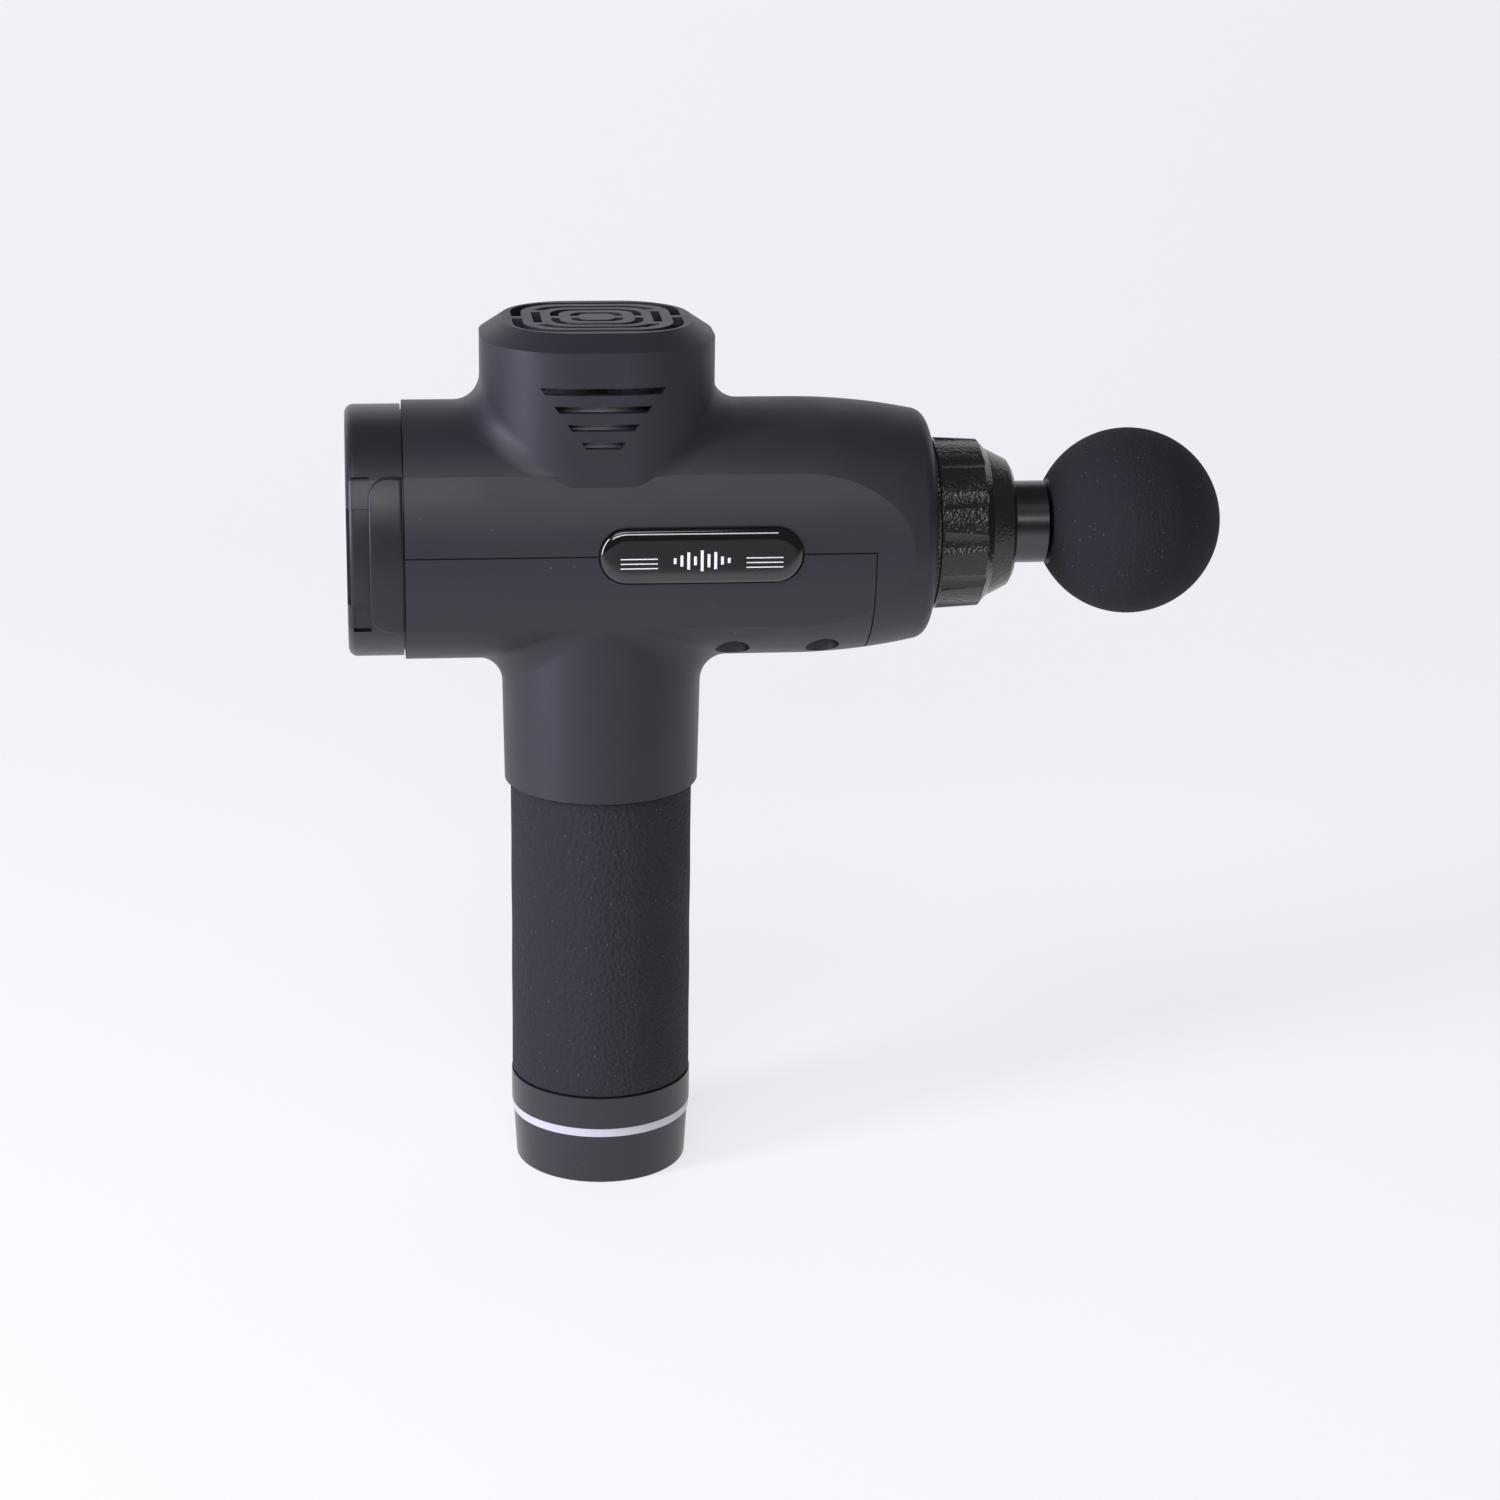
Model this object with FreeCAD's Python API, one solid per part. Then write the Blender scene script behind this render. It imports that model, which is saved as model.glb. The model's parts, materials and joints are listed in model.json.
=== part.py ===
import FreeCAD, Part
import math
import os

# Massage gun: a vertical battery grip, a horizontal barrel with a motor tower on top, and a
# reciprocating shaft that carries a foam ball. Millimetres. +Z is up, +X points to the ball, and the
# origin is the centre of the base face that the gun stands on.

# ---- grip and cells -------------------------------------------------------------------------------
cell_diameter = 18.3
cell_length = 65.0
cells_per_layer = 3
cell_layer_gap = 2.0
cell_bottom = 22.0
cell_side_gap = 0.6
tube_wall = 2.2
sleeve_thickness = 2.0
holder_thickness = 5.0
holder_clearance = 0.1

# ---- base -----------------------------------------------------------------------------------------
cap_height = 14.2
light_height = 2.4
base_ring_height = 8.9
base_taper = 0.8
base_inset = 0.3
ring_proud = 0.2
base_wall = 2.4
base_web = 2.4
sleeve_gap = 0.3
jack_offset = 9.5
jack_body_radius = 4.6
jack_socket_radius = 2.75
jack_pin_radius = 1.0
jack_depth = 9.5
switch_offset = 9.0
switch_travel = 4.0
switch_knob_length = 3.4
switch_knob_width = 2.6
base_screw_offset = 14.0

# ---- barrel, tower and neck -----------------------------------------------------------------------
wall = 2.4
barrel_radius = 34.2
side_relief = 2.7
side_arc_radius = 53.0
barrel_rear = -52.4
straight_end = 50.0
nose_curve_radius = 165.0
nose_front = 86.5
nose_edge_radius = 4.0
split_front = 69.6
headroom = 26.0
tower_x = -1.3
tower_corner = 24.0
tower_flatness = 2.1
tower_chamfer_height = 4.0
tower_chamfer_width = 6.0
neck_height = 69.2
neck_overhang = 1.6
neck_draft = 1.2
tower_blend = 7.0
neck_blend = 8.0
seam_width = 0.4
seam_depth = 0.8

# ---- motor and fan --------------------------------------------------------------------------------
motor_radius = 23.5
motor_air_gap = 4.7
motor_can_wall = 1.2
motor_height = 24.0
motor_shaft_radius = 2.5
bearing_radius = 8.0
bearing_height = 4.5
bearing_seat = 1.8
rotor_gap = 0.5
fan_height = 7.5
fan_gap = 1.5
fan_blades = 9
fan_headroom = 5.1
mount_plate = 4.0
motor_screw_circle = 18.0

# ---- crank, rod and piston ------------------------------------------------------------------------
crank_throw = 6.0
rod_length = 36.0
rod_thickness = 6.0
crank_gap = 0.3
crank_disc_gap = 3.5
plate_gap = 0.5
motor_lift = 0.5
crank_disc_height = 4.0
pin_radius = 3.0
pin_flange = 1.5
crank_bearing_radius = 8.0
rod_eye_wall = 2.5
rod_small_eye = 7.0
piston_radius = 11.0
piston_bore = 6.5
piston_out = 10.3
clevis_gap = 0.4
clevis_length = 8.0
running_gap = 0.05
bush_thickness = 1.5
bush_length = 12.0
guide_wall = 1.9
guide_clearance = 0.4
guide_setback = 11.3
guide_reach = 13.5
nose_damper_length = 4.0

# ---- nose collar and ball -------------------------------------------------------------------------
spigot_wall = 2.4
spigot_gap = 0.5
collar_wall = 5.7
collar_draft = 0.6
collar_gap = 0.4
collar_body_end = 100.4
collar_shoulder_end = 102.6
collar_shoulder_wall = 2.7
collar_cone_end = 108.4
collar_cone_draw = 0.2
collar_front = 109.4
collar_front_draw = 1.7
collar_lip = 4.0
collar_flutes = 12
flute_radius = 6.0
flute_depth = 1.1
ball_radius = 25.0
ball_flat_gap = 0.5
ball_flat_radius = 11.9
stem_fit = 0.08
stem_length = 22.0
stem_flange = 2.0
ball_core_radius = 14.0
ball_core_wall = 2.0

# ---- screws ---------------------------------------------------------------------------------------
screw_radius = 1.5
head_radius = 2.8
head_height = 1.8
boss_wall = 1.7
well_radius = 4.5
well_wall = 1.2
block_gap = 1.2
block_wall = 3.0
well_x = (33.6, 57.5)

# ---- rear cap and controls ------------------------------------------------------------------------
cap_step = 1.0
cap_length = 14.9
cap_seam = 0.4
cap_edge_radius = 2.4
pad_length = 8.9
pad_half_height = 20.5
pad_corner = 4.5
notch_half_height = 12.7
notch_depth = 0.9
recess_depth = 0.8
recess_edge = 1.4
lens_radius = 21.0
lens_thickness = 1.4
lens_recess = 0.5
button_travel = 0.8
button_gap = 0.3
power_button_radius = 6.0
speed_button_radius = 4.5
button_spacing = 13.0
board_thickness = 1.6

# ---- badge, vents and grille ----------------------------------------------------------------------
badge_length = 52.7
badge_height = 14.4
badge_rear = -2.5
badge_rise = 1.3
badge_gap = 0.45
vent_widths = (32.3, 25.2, 18.6, 11.5)
vent_height = 1.8
vent_pitch = 4.67
vent_drop = 14.0
vent_slant = 1.2
grille_rings = ((4.6, 6.8), (9.8, 12.0), (14.5, 16.8), (19.5, 22.2))
grille_flatness = 0.9
grille_web = 2.8

grille_corner = 0.6
badge_seat = 1.2

# ---- small details --------------------------------------------------------------------------------
neck_seat = 6.0
tube_overlap = 29.0
damper_height = 3.5
boss_screw_depth = 18.0
post_x = 17.0
post_radius = 3.0
post_margin = 0.95
frame_edge = 4.0
frame_corner = 6.0
frame_gap = 1.0
bridge_half = 12.5
stator_slots = 9
stator_slot_radius = 2.6
crank_disc_radius = 11.0
counterweight_radius = 14.5
fan_radius = 22.0
fan_hub_radius = 8.0
fan_blade_thickness = 1.2
fan_blade_pitch = 35.0
rod_arm_half = 4.5
guide_flange_radius = 20.0
guide_flange = 2.5
knurl_step = 1.0
knurl_length = 1.3
oring_section = 1.6
oring_width = 2.0
oring_inset = 6.0
cap_lip = 3.0
cap_fit = 0.1
board_clearance = 0.5
board_setback = 3.0
standoff_inset = 4.0
button_recess = 0.2
switch_height = 2.0
base_wire_hole = 8.0
base_screw_sink = 0.5

# ---- derived sizes --------------------------------------------------------------------------------
cell_radius = cell_diameter / 2
cell_circle = cell_radius / math.sin(math.pi / cells_per_layer)
tube_inner = cell_circle + cell_radius + cell_side_gap
tube_outer = tube_inner + tube_wall
grip_radius = tube_outer + sleeve_thickness
base_radius = grip_radius - base_inset
ring_radius = grip_radius + ring_proud
light_bottom = cap_height
ring_bottom = cap_height + light_height
ring_top = ring_bottom + base_ring_height
web_top = ring_bottom + base_web
cell_top = cell_bottom + 2 * cell_length + cell_layer_gap
axis_z = cell_top + headroom
neck_bottom = axis_z - neck_height
neck_radius = grip_radius + neck_overhang
tube_top = neck_bottom + tube_overlap

half_width = barrel_radius - side_relief
side_centre = side_arc_radius - half_width
crease_y = (side_arc_radius ** 2 - side_centre ** 2 - barrel_radius ** 2) / (2 * side_centre)
side_crease = math.sqrt(barrel_radius ** 2 - crease_y ** 2)
tower_half_x = motor_radius + motor_air_gap + wall
tower_half_y = tower_half_x - tower_flatness
rod_top = rod_thickness / 2
disc_bottom = rod_top + crank_disc_gap
disc_top = disc_bottom + crank_disc_height
plate_bottom = max(disc_top, piston_radius) + plate_gap
plate_top = plate_bottom + mount_plate
motor_bottom = plate_top + motor_lift
motor_top = motor_bottom + motor_height
fan_bottom = motor_top + fan_gap
fan_top = fan_bottom + fan_height
tower_top = fan_top + fan_headroom + wall

wrist_x = tower_x - crank_throw + rod_length
rod_big_eye = crank_bearing_radius + rod_eye_wall
piston_rear = wrist_x - clevis_length
piston_front = collar_front + piston_out
bush_inner = piston_radius + running_gap
bush_outer = bush_inner + bush_thickness
guide_outer = bush_outer + guide_wall
guide_rear = wrist_x + guide_setback
guide_front = nose_front + guide_reach
spigot_inner = guide_outer + guide_clearance
spigot_outer = spigot_inner + spigot_wall
collar_bore = spigot_outer + running_gap
collar_radius = collar_bore + collar_wall
collar_shoulder_radius = collar_bore + collar_shoulder_wall
collar_cone_radius = collar_bore - collar_cone_draw
collar_front_radius = collar_bore - collar_front_draw
knurl_radius = collar_radius - knurl_step
collar_rear = nose_front + collar_gap
lip_rear = collar_front - collar_lip
spigot_front = lip_rear - spigot_gap
flange_rear = nose_front - wall - nose_damper_length - guide_flange

ball_flat_x = piston_front + ball_flat_gap
ball_x = ball_flat_x + math.sqrt(ball_radius ** 2 - ball_flat_radius ** 2)
stem_radius = piston_bore - stem_fit
oring_x = piston_front - stem_length + oring_inset

boss_radius = screw_radius + boss_wall
well_y = guide_outer + guide_clearance + boss_radius
well_top = -14.0
block_rear = well_x[0] + well_radius + well_wall + block_gap
block_front = well_x[1] - well_radius - well_wall - block_gap
block_half = guide_outer + block_wall
post_reach = tube_inner + post_radius + post_margin
post_y = math.sqrt(post_reach ** 2 - (post_x + tower_x) ** 2)
frame_half = min(post_y + frame_edge, tower_half_y - wall - frame_gap)

rear_face = barrel_rear - cap_length
cap_joint = barrel_rear - cap_seam
board_x = barrel_rear - board_setback
standoff_radius = 2.5
standoff_circle = barrel_radius - cap_step - wall - standoff_inset


# ---- helpers --------------------------------------------------------------------------------------
def vec(x, y, z):
    return FreeCAD.Vector(x, y, z)


def save(name, shape):
    shape.exportStep("parts/" + name + ".step")


def join(shapes):
    return shapes[0].fuse(list(shapes[1:]))


def box(x0, x1, y0, y1, z0, z1):
    return Part.makeBox(x1 - x0, y1 - y0, z1 - z0, vec(x0, y0, z0))


def post(radius, z0, z1, x=0.0, y=0.0):
    return Part.makeCylinder(radius, z1 - z0, vec(x, y, z0))


def tube(outer, inner, z0, z1, x=0.0, y=0.0):
    return post(outer, z0, z1, x, y).cut(post(inner, z0, z1, x, y))


def rod_x(radius, x0, x1, y=0.0, z=0.0):
    return Part.makeCylinder(radius, x1 - x0, vec(x0, y, axis_z + z), vec(1, 0, 0))


def tube_x(outer, inner, x0, x1, y=0.0, z=0.0):
    return rod_x(outer, x0, x1, y, z).cut(rod_x(inner, x0, x1, y, z))


def turn_x(points):
    """A solid turned about the barrel axis from (x, radius) points; both ends close on the axis."""
    outline = [(points[0][0], 0.0)] + list(points) + [(points[-1][0], 0.0)]
    corners = [vec(x, 0, axis_z + radius) for x, radius in outline]
    face = Part.Face(Part.makePolygon(corners + corners[:1]))
    return face.revolve(vec(0, 0, axis_z), vec(1, 0, 0), 360)


def rounded_rectangle(half_x, half_y, corner, z, x=0.0):
    """A closed wire in the plane Z = z, with a quarter circle at each corner."""
    edges = []
    flat_x = half_x - corner
    flat_y = half_y - corner
    diagonal = corner * math.sqrt(0.5)
    centres = ((flat_x, flat_y), (-flat_x, flat_y), (-flat_x, -flat_y), (flat_x, -flat_y))
    starts = ((1, 0), (0, 1), (-1, 0), (0, -1))
    for index in range(4):
        cx, cy = centres[index]
        ax, ay = starts[index]
        bx, by = starts[(index + 1) % 4]
        first = vec(x + cx + corner * ax, cy + corner * ay, z)
        middle = vec(x + cx + diagonal * (ax + bx), cy + diagonal * (ay + by), z)
        last = vec(x + cx + corner * bx, cy + corner * by, z)
        if edges:
            edges.append(Part.makeLine(edges[-1].lastVertex().Point, first))
        edges.append(Part.Arc(first, middle, last).toShape())
    edges.append(Part.makeLine(edges[-1].lastVertex().Point, edges[0].firstVertex().Point))
    return Part.Wire(edges)


def prism(wire, height):
    return Part.Face(wire).extrude(vec(0, 0, height))


def spread(count, radius, start=0.0):
    """Evenly spaced points on a circle."""
    angles = [start + 2 * math.pi * index / count for index in range(count)]
    return [(radius * math.cos(angle), radius * math.sin(angle)) for angle in angles]


def edges_between(shape, first, second):
    """The edges of a joined solid that lie on the faces of both of the solids it was made from."""
    found = []
    for edge in shape.Edges:
        middle = edge.valueAt((edge.FirstParameter + edge.LastParameter) / 2)
        point = Part.Vertex(middle)
        on_first = min(face.distToShape(point)[0] for face in first.Faces) < 0.001
        on_second = min(face.distToShape(point)[0] for face in second.Faces) < 0.001
        if on_first and on_second:
            found.append(edge)
    return found


# ---- casing ---------------------------------------------------------------------------------------
def barrel_section(inset, step, x):
    """A closed wire across the barrel: wide arcs at top and bottom, and flatter arcs at the sides."""
    radius = barrel_radius - step - inset
    side_radius = side_arc_radius - inset
    centre = side_arc_radius - (half_width - step)
    corner_y = (side_radius ** 2 - centre ** 2 - radius ** 2) / (2 * centre)
    corner_z = math.sqrt(radius ** 2 - corner_y ** 2)
    side = side_radius - centre
    angle = math.atan2(corner_z, corner_y + centre) / 2
    middle_y = side_radius * math.cos(angle) - centre
    middle_z = side_radius * math.sin(angle)
    edges = []
    for turn in (1, -1):
        right = vec(x, turn * corner_y, axis_z + turn * corner_z)
        left = vec(x, -turn * corner_y, axis_z + turn * corner_z)
        level = vec(x, -turn * side, axis_z)
        below = vec(x, -turn * corner_y, axis_z - turn * corner_z)
        edges.append(Part.Arc(right, vec(x, 0, axis_z + turn * radius), left).toShape())
        edges.append(Part.Arc(left, vec(x, -turn * middle_y, axis_z + turn * middle_z), level).toShape())
        edges.append(Part.Arc(level, vec(x, -turn * middle_y, axis_z - turn * middle_z), below).toShape())
    return Part.Wire(edges)


def barrel_bar(inset, step, x0, x1):
    """A straight length of the barrel's form, smaller all round by the step."""
    return Part.Face(barrel_section(inset, step, x0)).extrude(vec(x1 - x0, 0, 0))


def nose(inset):
    """The drawn-in front of the barrel: a turned form whose sides are relieved like the barrel's."""
    curve = nose_curve_radius - inset
    front = nose_front - inset
    centre_r = barrel_radius - nose_curve_radius
    edge = nose_edge_radius
    reach = front - edge - straight_end
    shoulder = centre_r + math.sqrt(curve ** 2 - reach ** 2)
    middle = centre_r + math.sqrt(curve ** 2 - (reach / 2) ** 2)
    slope = reach / math.sqrt(curve ** 2 - reach ** 2)
    rim = shoulder - edge
    bow = math.sqrt(0.5) * edge
    y0 = barrel_radius - inset
    start = vec(straight_end, y0, axis_z)
    turn_in = vec(front - edge, shoulder, axis_z)
    curve_edge = Part.Arc(start, vec(straight_end + reach / 2, middle, axis_z), turn_in).toShape()
    bend = vec(front - edge + bow, rim + bow - slope * edge / 4, axis_z)
    rim_edge = Part.Arc(turn_in, bend, vec(front, rim - slope * edge / 2, axis_z)).toShape()
    face_end = vec(front, 0, axis_z)
    face_start = vec(straight_end, 0, axis_z)
    closing = Part.makePolygon([vec(front, rim - slope * edge / 2, axis_z), face_end, face_start, start])
    outline = Part.Wire([curve_edge, rim_edge] + closing.Edges)
    solid = Part.Face(outline).revolve(vec(0, 0, axis_z), vec(1, 0, 0), 360)
    reach_x = front - straight_end + 1
    for side in (1, -1):
        offset = vec(straight_end, -side * side_centre, axis_z)
        keep = Part.makeCylinder(side_arc_radius - inset, reach_x, offset, vec(1, 0, 0))
        solid = solid.common(keep)
    return solid


def barrel(inset, x0):
    return barrel_bar(inset, 0.0, x0, straight_end).fuse(nose(inset))


def tower(inset, z0):
    half_x = tower_half_x - inset
    half_y = tower_half_y - inset
    corner = tower_corner - inset
    top = axis_z + tower_top - inset
    shoulder = top - tower_chamfer_height
    wide = rounded_rectangle(half_x, half_y, corner, z0, tower_x)
    body = prism(wide, shoulder - z0)
    lower = rounded_rectangle(half_x, half_y, corner, shoulder, tower_x)
    cut = tower_chamfer_width
    upper = rounded_rectangle(half_x - cut, half_y - cut, corner - cut, top, tower_x)
    return body.fuse(Part.makeLoft([lower, upper], True, True))


def neck(inset, z0, z1):
    start = neck_radius - inset
    return Part.makeCone(start, start + neck_draft, z1 - z0, vec(0, 0, z0))


def casing(inset, overrun):
    """The outer form of the casing, or its hollow when inset is the wall and the ends run past the skin."""
    long_part = barrel(inset, barrel_rear - overrun)
    upright = tower(inset, axis_z)
    grip_neck = neck(inset, neck_bottom - overrun, axis_z)
    return long_part, upright, grip_neck


def side_cutters(x0, x1):
    """What the flatter side arcs take off a round barrel, between their upper and lower edges."""
    block = box(x0, x1, 0, 2 * barrel_radius, axis_z - side_crease, axis_z + side_crease)
    keep = Part.makeCylinder(side_arc_radius, x1 - x0, vec(x0, -side_centre, axis_z), vec(1, 0, 0))
    cutter = block.cut(keep)
    return cutter, cutter.mirror(vec(0, 0, 0), vec(0, 1, 0))


def casing_solid():
    round_bar = rod_x(barrel_radius, barrel_rear, straight_end)
    round_bar.rotate(vec(0, 0, axis_z), vec(1, 0, 0), 90)
    upright = tower(0.0, axis_z)
    solid = round_bar.fuse(upright)
    solid = solid.makeFillet(tower_blend, edges_between(solid, round_bar, upright))
    for cutter in side_cutters(barrel_rear - 1, straight_end + 1):
        solid = solid.cut(cutter)
    solid = join([solid, upright, nose(0.0)])
    grip_neck = neck(0.0, neck_bottom, axis_z)
    whole = solid.fuse(grip_neck)
    return whole.makeFillet(neck_blend, edges_between(whole, barrel(0.0, barrel_rear), grip_neck))


def lower_region():
    """The space of the lower housing: under the split plane and behind the nose, with the neck."""
    reach = 2 * barrel_radius
    return box(barrel_rear - 1, split_front, -reach, reach, neck_bottom - 1, axis_z)


def seam_groove(hollow_skin):
    """A shallow groove all round the split line, outside the skin's inner form."""
    half = seam_width / 2
    reach = 2 * barrel_radius
    level = box(barrel_rear - 1, split_front + half, -reach, reach, axis_z - half, axis_z + half)
    upright = box(split_front - half, split_front + half, -reach, reach, axis_z - reach, axis_z + half)
    return level.fuse(upright).cut(hollow_skin)


def pill(half_length, half_height, depth_from, depth_to):
    """A round-ended bar that lies along X, between two Y planes."""
    centre = badge_rear + badge_length / 2
    low = axis_z - half_height
    high = axis_z + half_height
    x0 = centre - half_length + half_height
    x1 = centre + half_length - half_height
    y = depth_from
    edges = [Part.makeLine(vec(x0, y, low), vec(x1, y, low))]
    edges.append(Part.Arc(vec(x1, y, low), vec(x1 + half_height, y, axis_z), vec(x1, y, high)).toShape())
    edges.append(Part.makeLine(vec(x1, y, high), vec(x0, y, high)))
    edges.append(Part.Arc(vec(x0, y, high), vec(x0 - half_height, y, axis_z), vec(x0, y, low)).toShape())
    return Part.Face(Part.Wire(edges)).extrude(vec(0, depth_to - depth_from, 0))


def badge_pockets():
    half_length = badge_length / 2 + badge_gap
    half_height = badge_height / 2 + badge_gap
    floor = half_width - badge_seat
    left = pill(half_length, half_height, floor, half_width + 2)
    right = pill(half_length, half_height, -half_width - 2, -floor)
    return left.fuse(right)


def vents():
    """Slots through both side walls of the tower, each shorter than the one above."""
    cutters = []
    for index, width in enumerate(vent_widths):
        high = axis_z + tower_top - vent_drop - index * vent_pitch + vent_height / 2
        low = high - vent_height
        half_high = width / 2
        half_low = half_high - vent_slant
        y = -tower_half_y - 1
        corners = [vec(tower_x - half_high, y, high), vec(tower_x + half_high, y, high)]
        corners += [vec(tower_x + half_low, y, low), vec(tower_x - half_low, y, low)]
        face = Part.Face(Part.makePolygon(corners + corners[:1]))
        cutters.append(face.extrude(vec(0, -2 * y, 0)))
    return join(cutters)


def ring_slot(inner, outer, z0, height):
    shapes = []
    for half in (outer, inner):
        half_y = half * grille_flatness
        wire = rounded_rectangle(half, half_y, half_y * grille_corner, z0, tower_x)
        shapes.append(prism(wire, height))
    return shapes[0].cut(shapes[1])


def grille_slots():
    """Nested rounded slots in the tower's top, held by webs that change place from ring to ring."""
    z0 = axis_z + tower_top - wall - 1
    height = wall + 2
    half_web = grille_web / 2
    cutters = []
    for index, (inner, outer) in enumerate(grille_rings):
        slot = ring_slot(inner, outer, z0, height)
        offsets = (-outer / 2, outer / 2) if index == 2 else (0.0,)
        x0 = tower_x - outer - 1
        x1 = tower_x + outer + 1
        for y in offsets:
            slot = slot.cut(box(x0, x1, y - half_web, y + half_web, z0, z0 + height))
        cutters.append(slot)
    return join(cutters)


def well_places():
    return [(x, side * well_y) for x in well_x for side in (1, -1)]


def housing_shells():
    skin = casing_solid()
    hollow = join(casing(wall, 1.0))
    shell = skin.cut(hollow).cut(badge_pockets())
    skin_core = join(casing(seam_depth, 1.0))
    shell = shell.cut(seam_groove(skin_core))
    region = lower_region()
    return shell.cut(region), shell.common(region), skin, hollow


def upper_housing(shell, hollow):
    shell = shell.cut(vents()).cut(grille_slots())
    spigot = tube_x(spigot_outer, spigot_inner, nose_front - wall, spigot_front)
    shell = shell.cut(rod_x(spigot_inner, nose_front - wall - 1, nose_front + 1)).fuse(spigot)
    for x, y in well_places():
        boss = post(boss_radius, axis_z, axis_z + barrel_radius, x, y).common(hollow)
        shell = shell.fuse(boss).cut(post(screw_radius, axis_z - 1, axis_z + boss_screw_depth, x, y))
    return shell


def lower_housing(shell, skin, hollow):
    for x, y in well_places():
        well = post(well_radius + well_wall, neck_bottom, axis_z + well_top, x, y).common(skin)
        boss = post(boss_radius, axis_z + well_top - 1, axis_z, x, y)
        shell = join([shell, well, boss])
        shell = shell.cut(post(well_radius, neck_bottom, axis_z + well_top - 1, x, y))
        shell = shell.cut(post(screw_radius, neck_bottom, axis_z + 1, x, y))
    for x, y in damper_places():
        column = post(post_radius, tube_top + 1, axis_z + plate_bottom - damper_height, x, y)
        shell = shell.fuse(column.common(skin))
    collar = tube(neck_radius - wall + 0.5, tube_outer + 0.05, neck_bottom, neck_bottom + neck_seat)
    seat = tube(neck_radius + neck_draft - wall + 0.3, tube_outer + 0.05, tube_top - neck_seat, tube_top)
    return join([shell, collar, seat])


# ---- drive frame ----------------------------------------------------------------------------------
def damper_places():
    return [(tower_x + sx * post_x, sy * post_y) for sx in (1, -1) for sy in (1, -1)]


def motor_screw_places():
    return [(tower_x + x, y) for x, y in spread(4, motor_screw_circle, math.pi / 2)]


def drive_frame():
    z0 = axis_z + plate_bottom
    z1 = axis_z + plate_top
    wire = rounded_rectangle(post_x + frame_edge, frame_half, frame_corner, z0, tower_x)
    plate = prism(wire, mount_plate)
    bridge = box(tower_x, block_front, -bridge_half, bridge_half, z0, z1)
    block = box(block_rear, block_front, -block_half, block_half, axis_z - block_half, z1)
    frame = join([plate, bridge, block])
    frame = frame.cut(rod_x(guide_outer, block_rear - 1, block_front + 1))
    frame = frame.cut(post(bearing_radius, z0 - 1, z1 + 1, tower_x))
    for x, y in motor_screw_places():
        frame = frame.cut(post(screw_radius, z0 - 1, z1 + 1, x, y))
    return frame


def frame_dampers():
    z1 = axis_z + plate_bottom
    return [post(post_radius, z1 - damper_height, z1, x, y) for x, y in damper_places()]


def motor_parts():
    low = axis_z + plate_top
    high = axis_z + motor_top
    inner = motor_radius - motor_can_wall
    base = post(inner, low, low + 3.0, tower_x)
    base = base.fuse(post(bearing_radius + bearing_seat, low, low + bearing_height, tower_x))
    base = base.cut(post(bearing_radius, low - 1, high, tower_x))
    can = post(motor_radius, low, high, tower_x).cut(post(inner, low - 1, high - motor_can_wall, tower_x))
    hub = post(bearing_radius + bearing_seat, high - bearing_height, high, tower_x)
    can = can.fuse(hub).cut(post(bearing_radius, low, high + 1, tower_x))
    for x, y in motor_screw_places():
        base = base.cut(post(screw_radius, low - 1, low + 4, x, y))
    core_low = low + bearing_height + 0.5
    core_high = high - bearing_height - 0.5
    bore = bearing_radius + bearing_seat + 3.0
    core = tube(inner, bore, core_low, core_high, tower_x)
    for x, y in spread(stator_slots, (inner + bore) / 2 - 1.0):
        core = core.cut(post(stator_slot_radius, core_low - 1, core_high + 1, tower_x + x, y))
    magnet = tube(bore - rotor_gap, motor_shaft_radius, core_low, core_high, tower_x)
    lower_bearing = tube(bearing_radius, motor_shaft_radius, low, low + bearing_height, tower_x)
    upper_bearing = tube(bearing_radius, motor_shaft_radius, high - bearing_height, high, tower_x)
    return base, can, core, magnet, lower_bearing, upper_bearing


def crank_disc():
    z0 = axis_z + disc_bottom
    z1 = axis_z + disc_top
    disc = post(crank_disc_radius, z0, z1, tower_x)
    weight = post(counterweight_radius, z0, z1, tower_x)
    half = box(tower_x + 2.0, tower_x + counterweight_radius, -20, 20, z0, z1)
    return disc.fuse(weight.common(half)).cut(post(motor_shaft_radius, z0 - 1, z1 + 1, tower_x))


def cooling_fan():
    z0 = axis_z + fan_bottom
    z1 = axis_z + fan_top
    hub = post(fan_hub_radius, z0, z1, tower_x)
    blades = []
    half = fan_blade_thickness / 2
    for index in range(fan_blades):
        angle = 360.0 * index / fan_blades
        blade = box(0, fan_radius, -half, half, -fan_height, fan_height)
        blade.rotate(vec(0, 0, 0), vec(1, 0, 0), fan_blade_pitch)
        blade.translate(vec(tower_x, 0, (z0 + z1) / 2))
        blade.rotate(vec(tower_x, 0, 0), vec(0, 0, 1), angle)
        blades.append(blade)
    swept = post(fan_radius, z0 + 0.5, z1 - 0.5, tower_x)
    wheel = join([hub] + [blade.common(swept) for blade in blades])
    return wheel.cut(post(motor_shaft_radius, z0 - 1, z1 + 1, tower_x))


# ---- crank rod, piston and guide ------------------------------------------------------------------
def connecting_rod():
    z0 = axis_z - rod_top
    z1 = axis_z + rod_top
    big_x = wrist_x - rod_length
    arm = box(big_x, wrist_x, -rod_arm_half, rod_arm_half, z0, z1)
    shape = join([arm, post(rod_big_eye, z0, z1, big_x), post(rod_small_eye, z0, z1, wrist_x)])
    shape = shape.cut(post(crank_bearing_radius, z0 - 1, z1 + 1, big_x))
    return shape.cut(post(pin_radius + running_gap, z0 - 1, z1 + 1, wrist_x))


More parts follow.
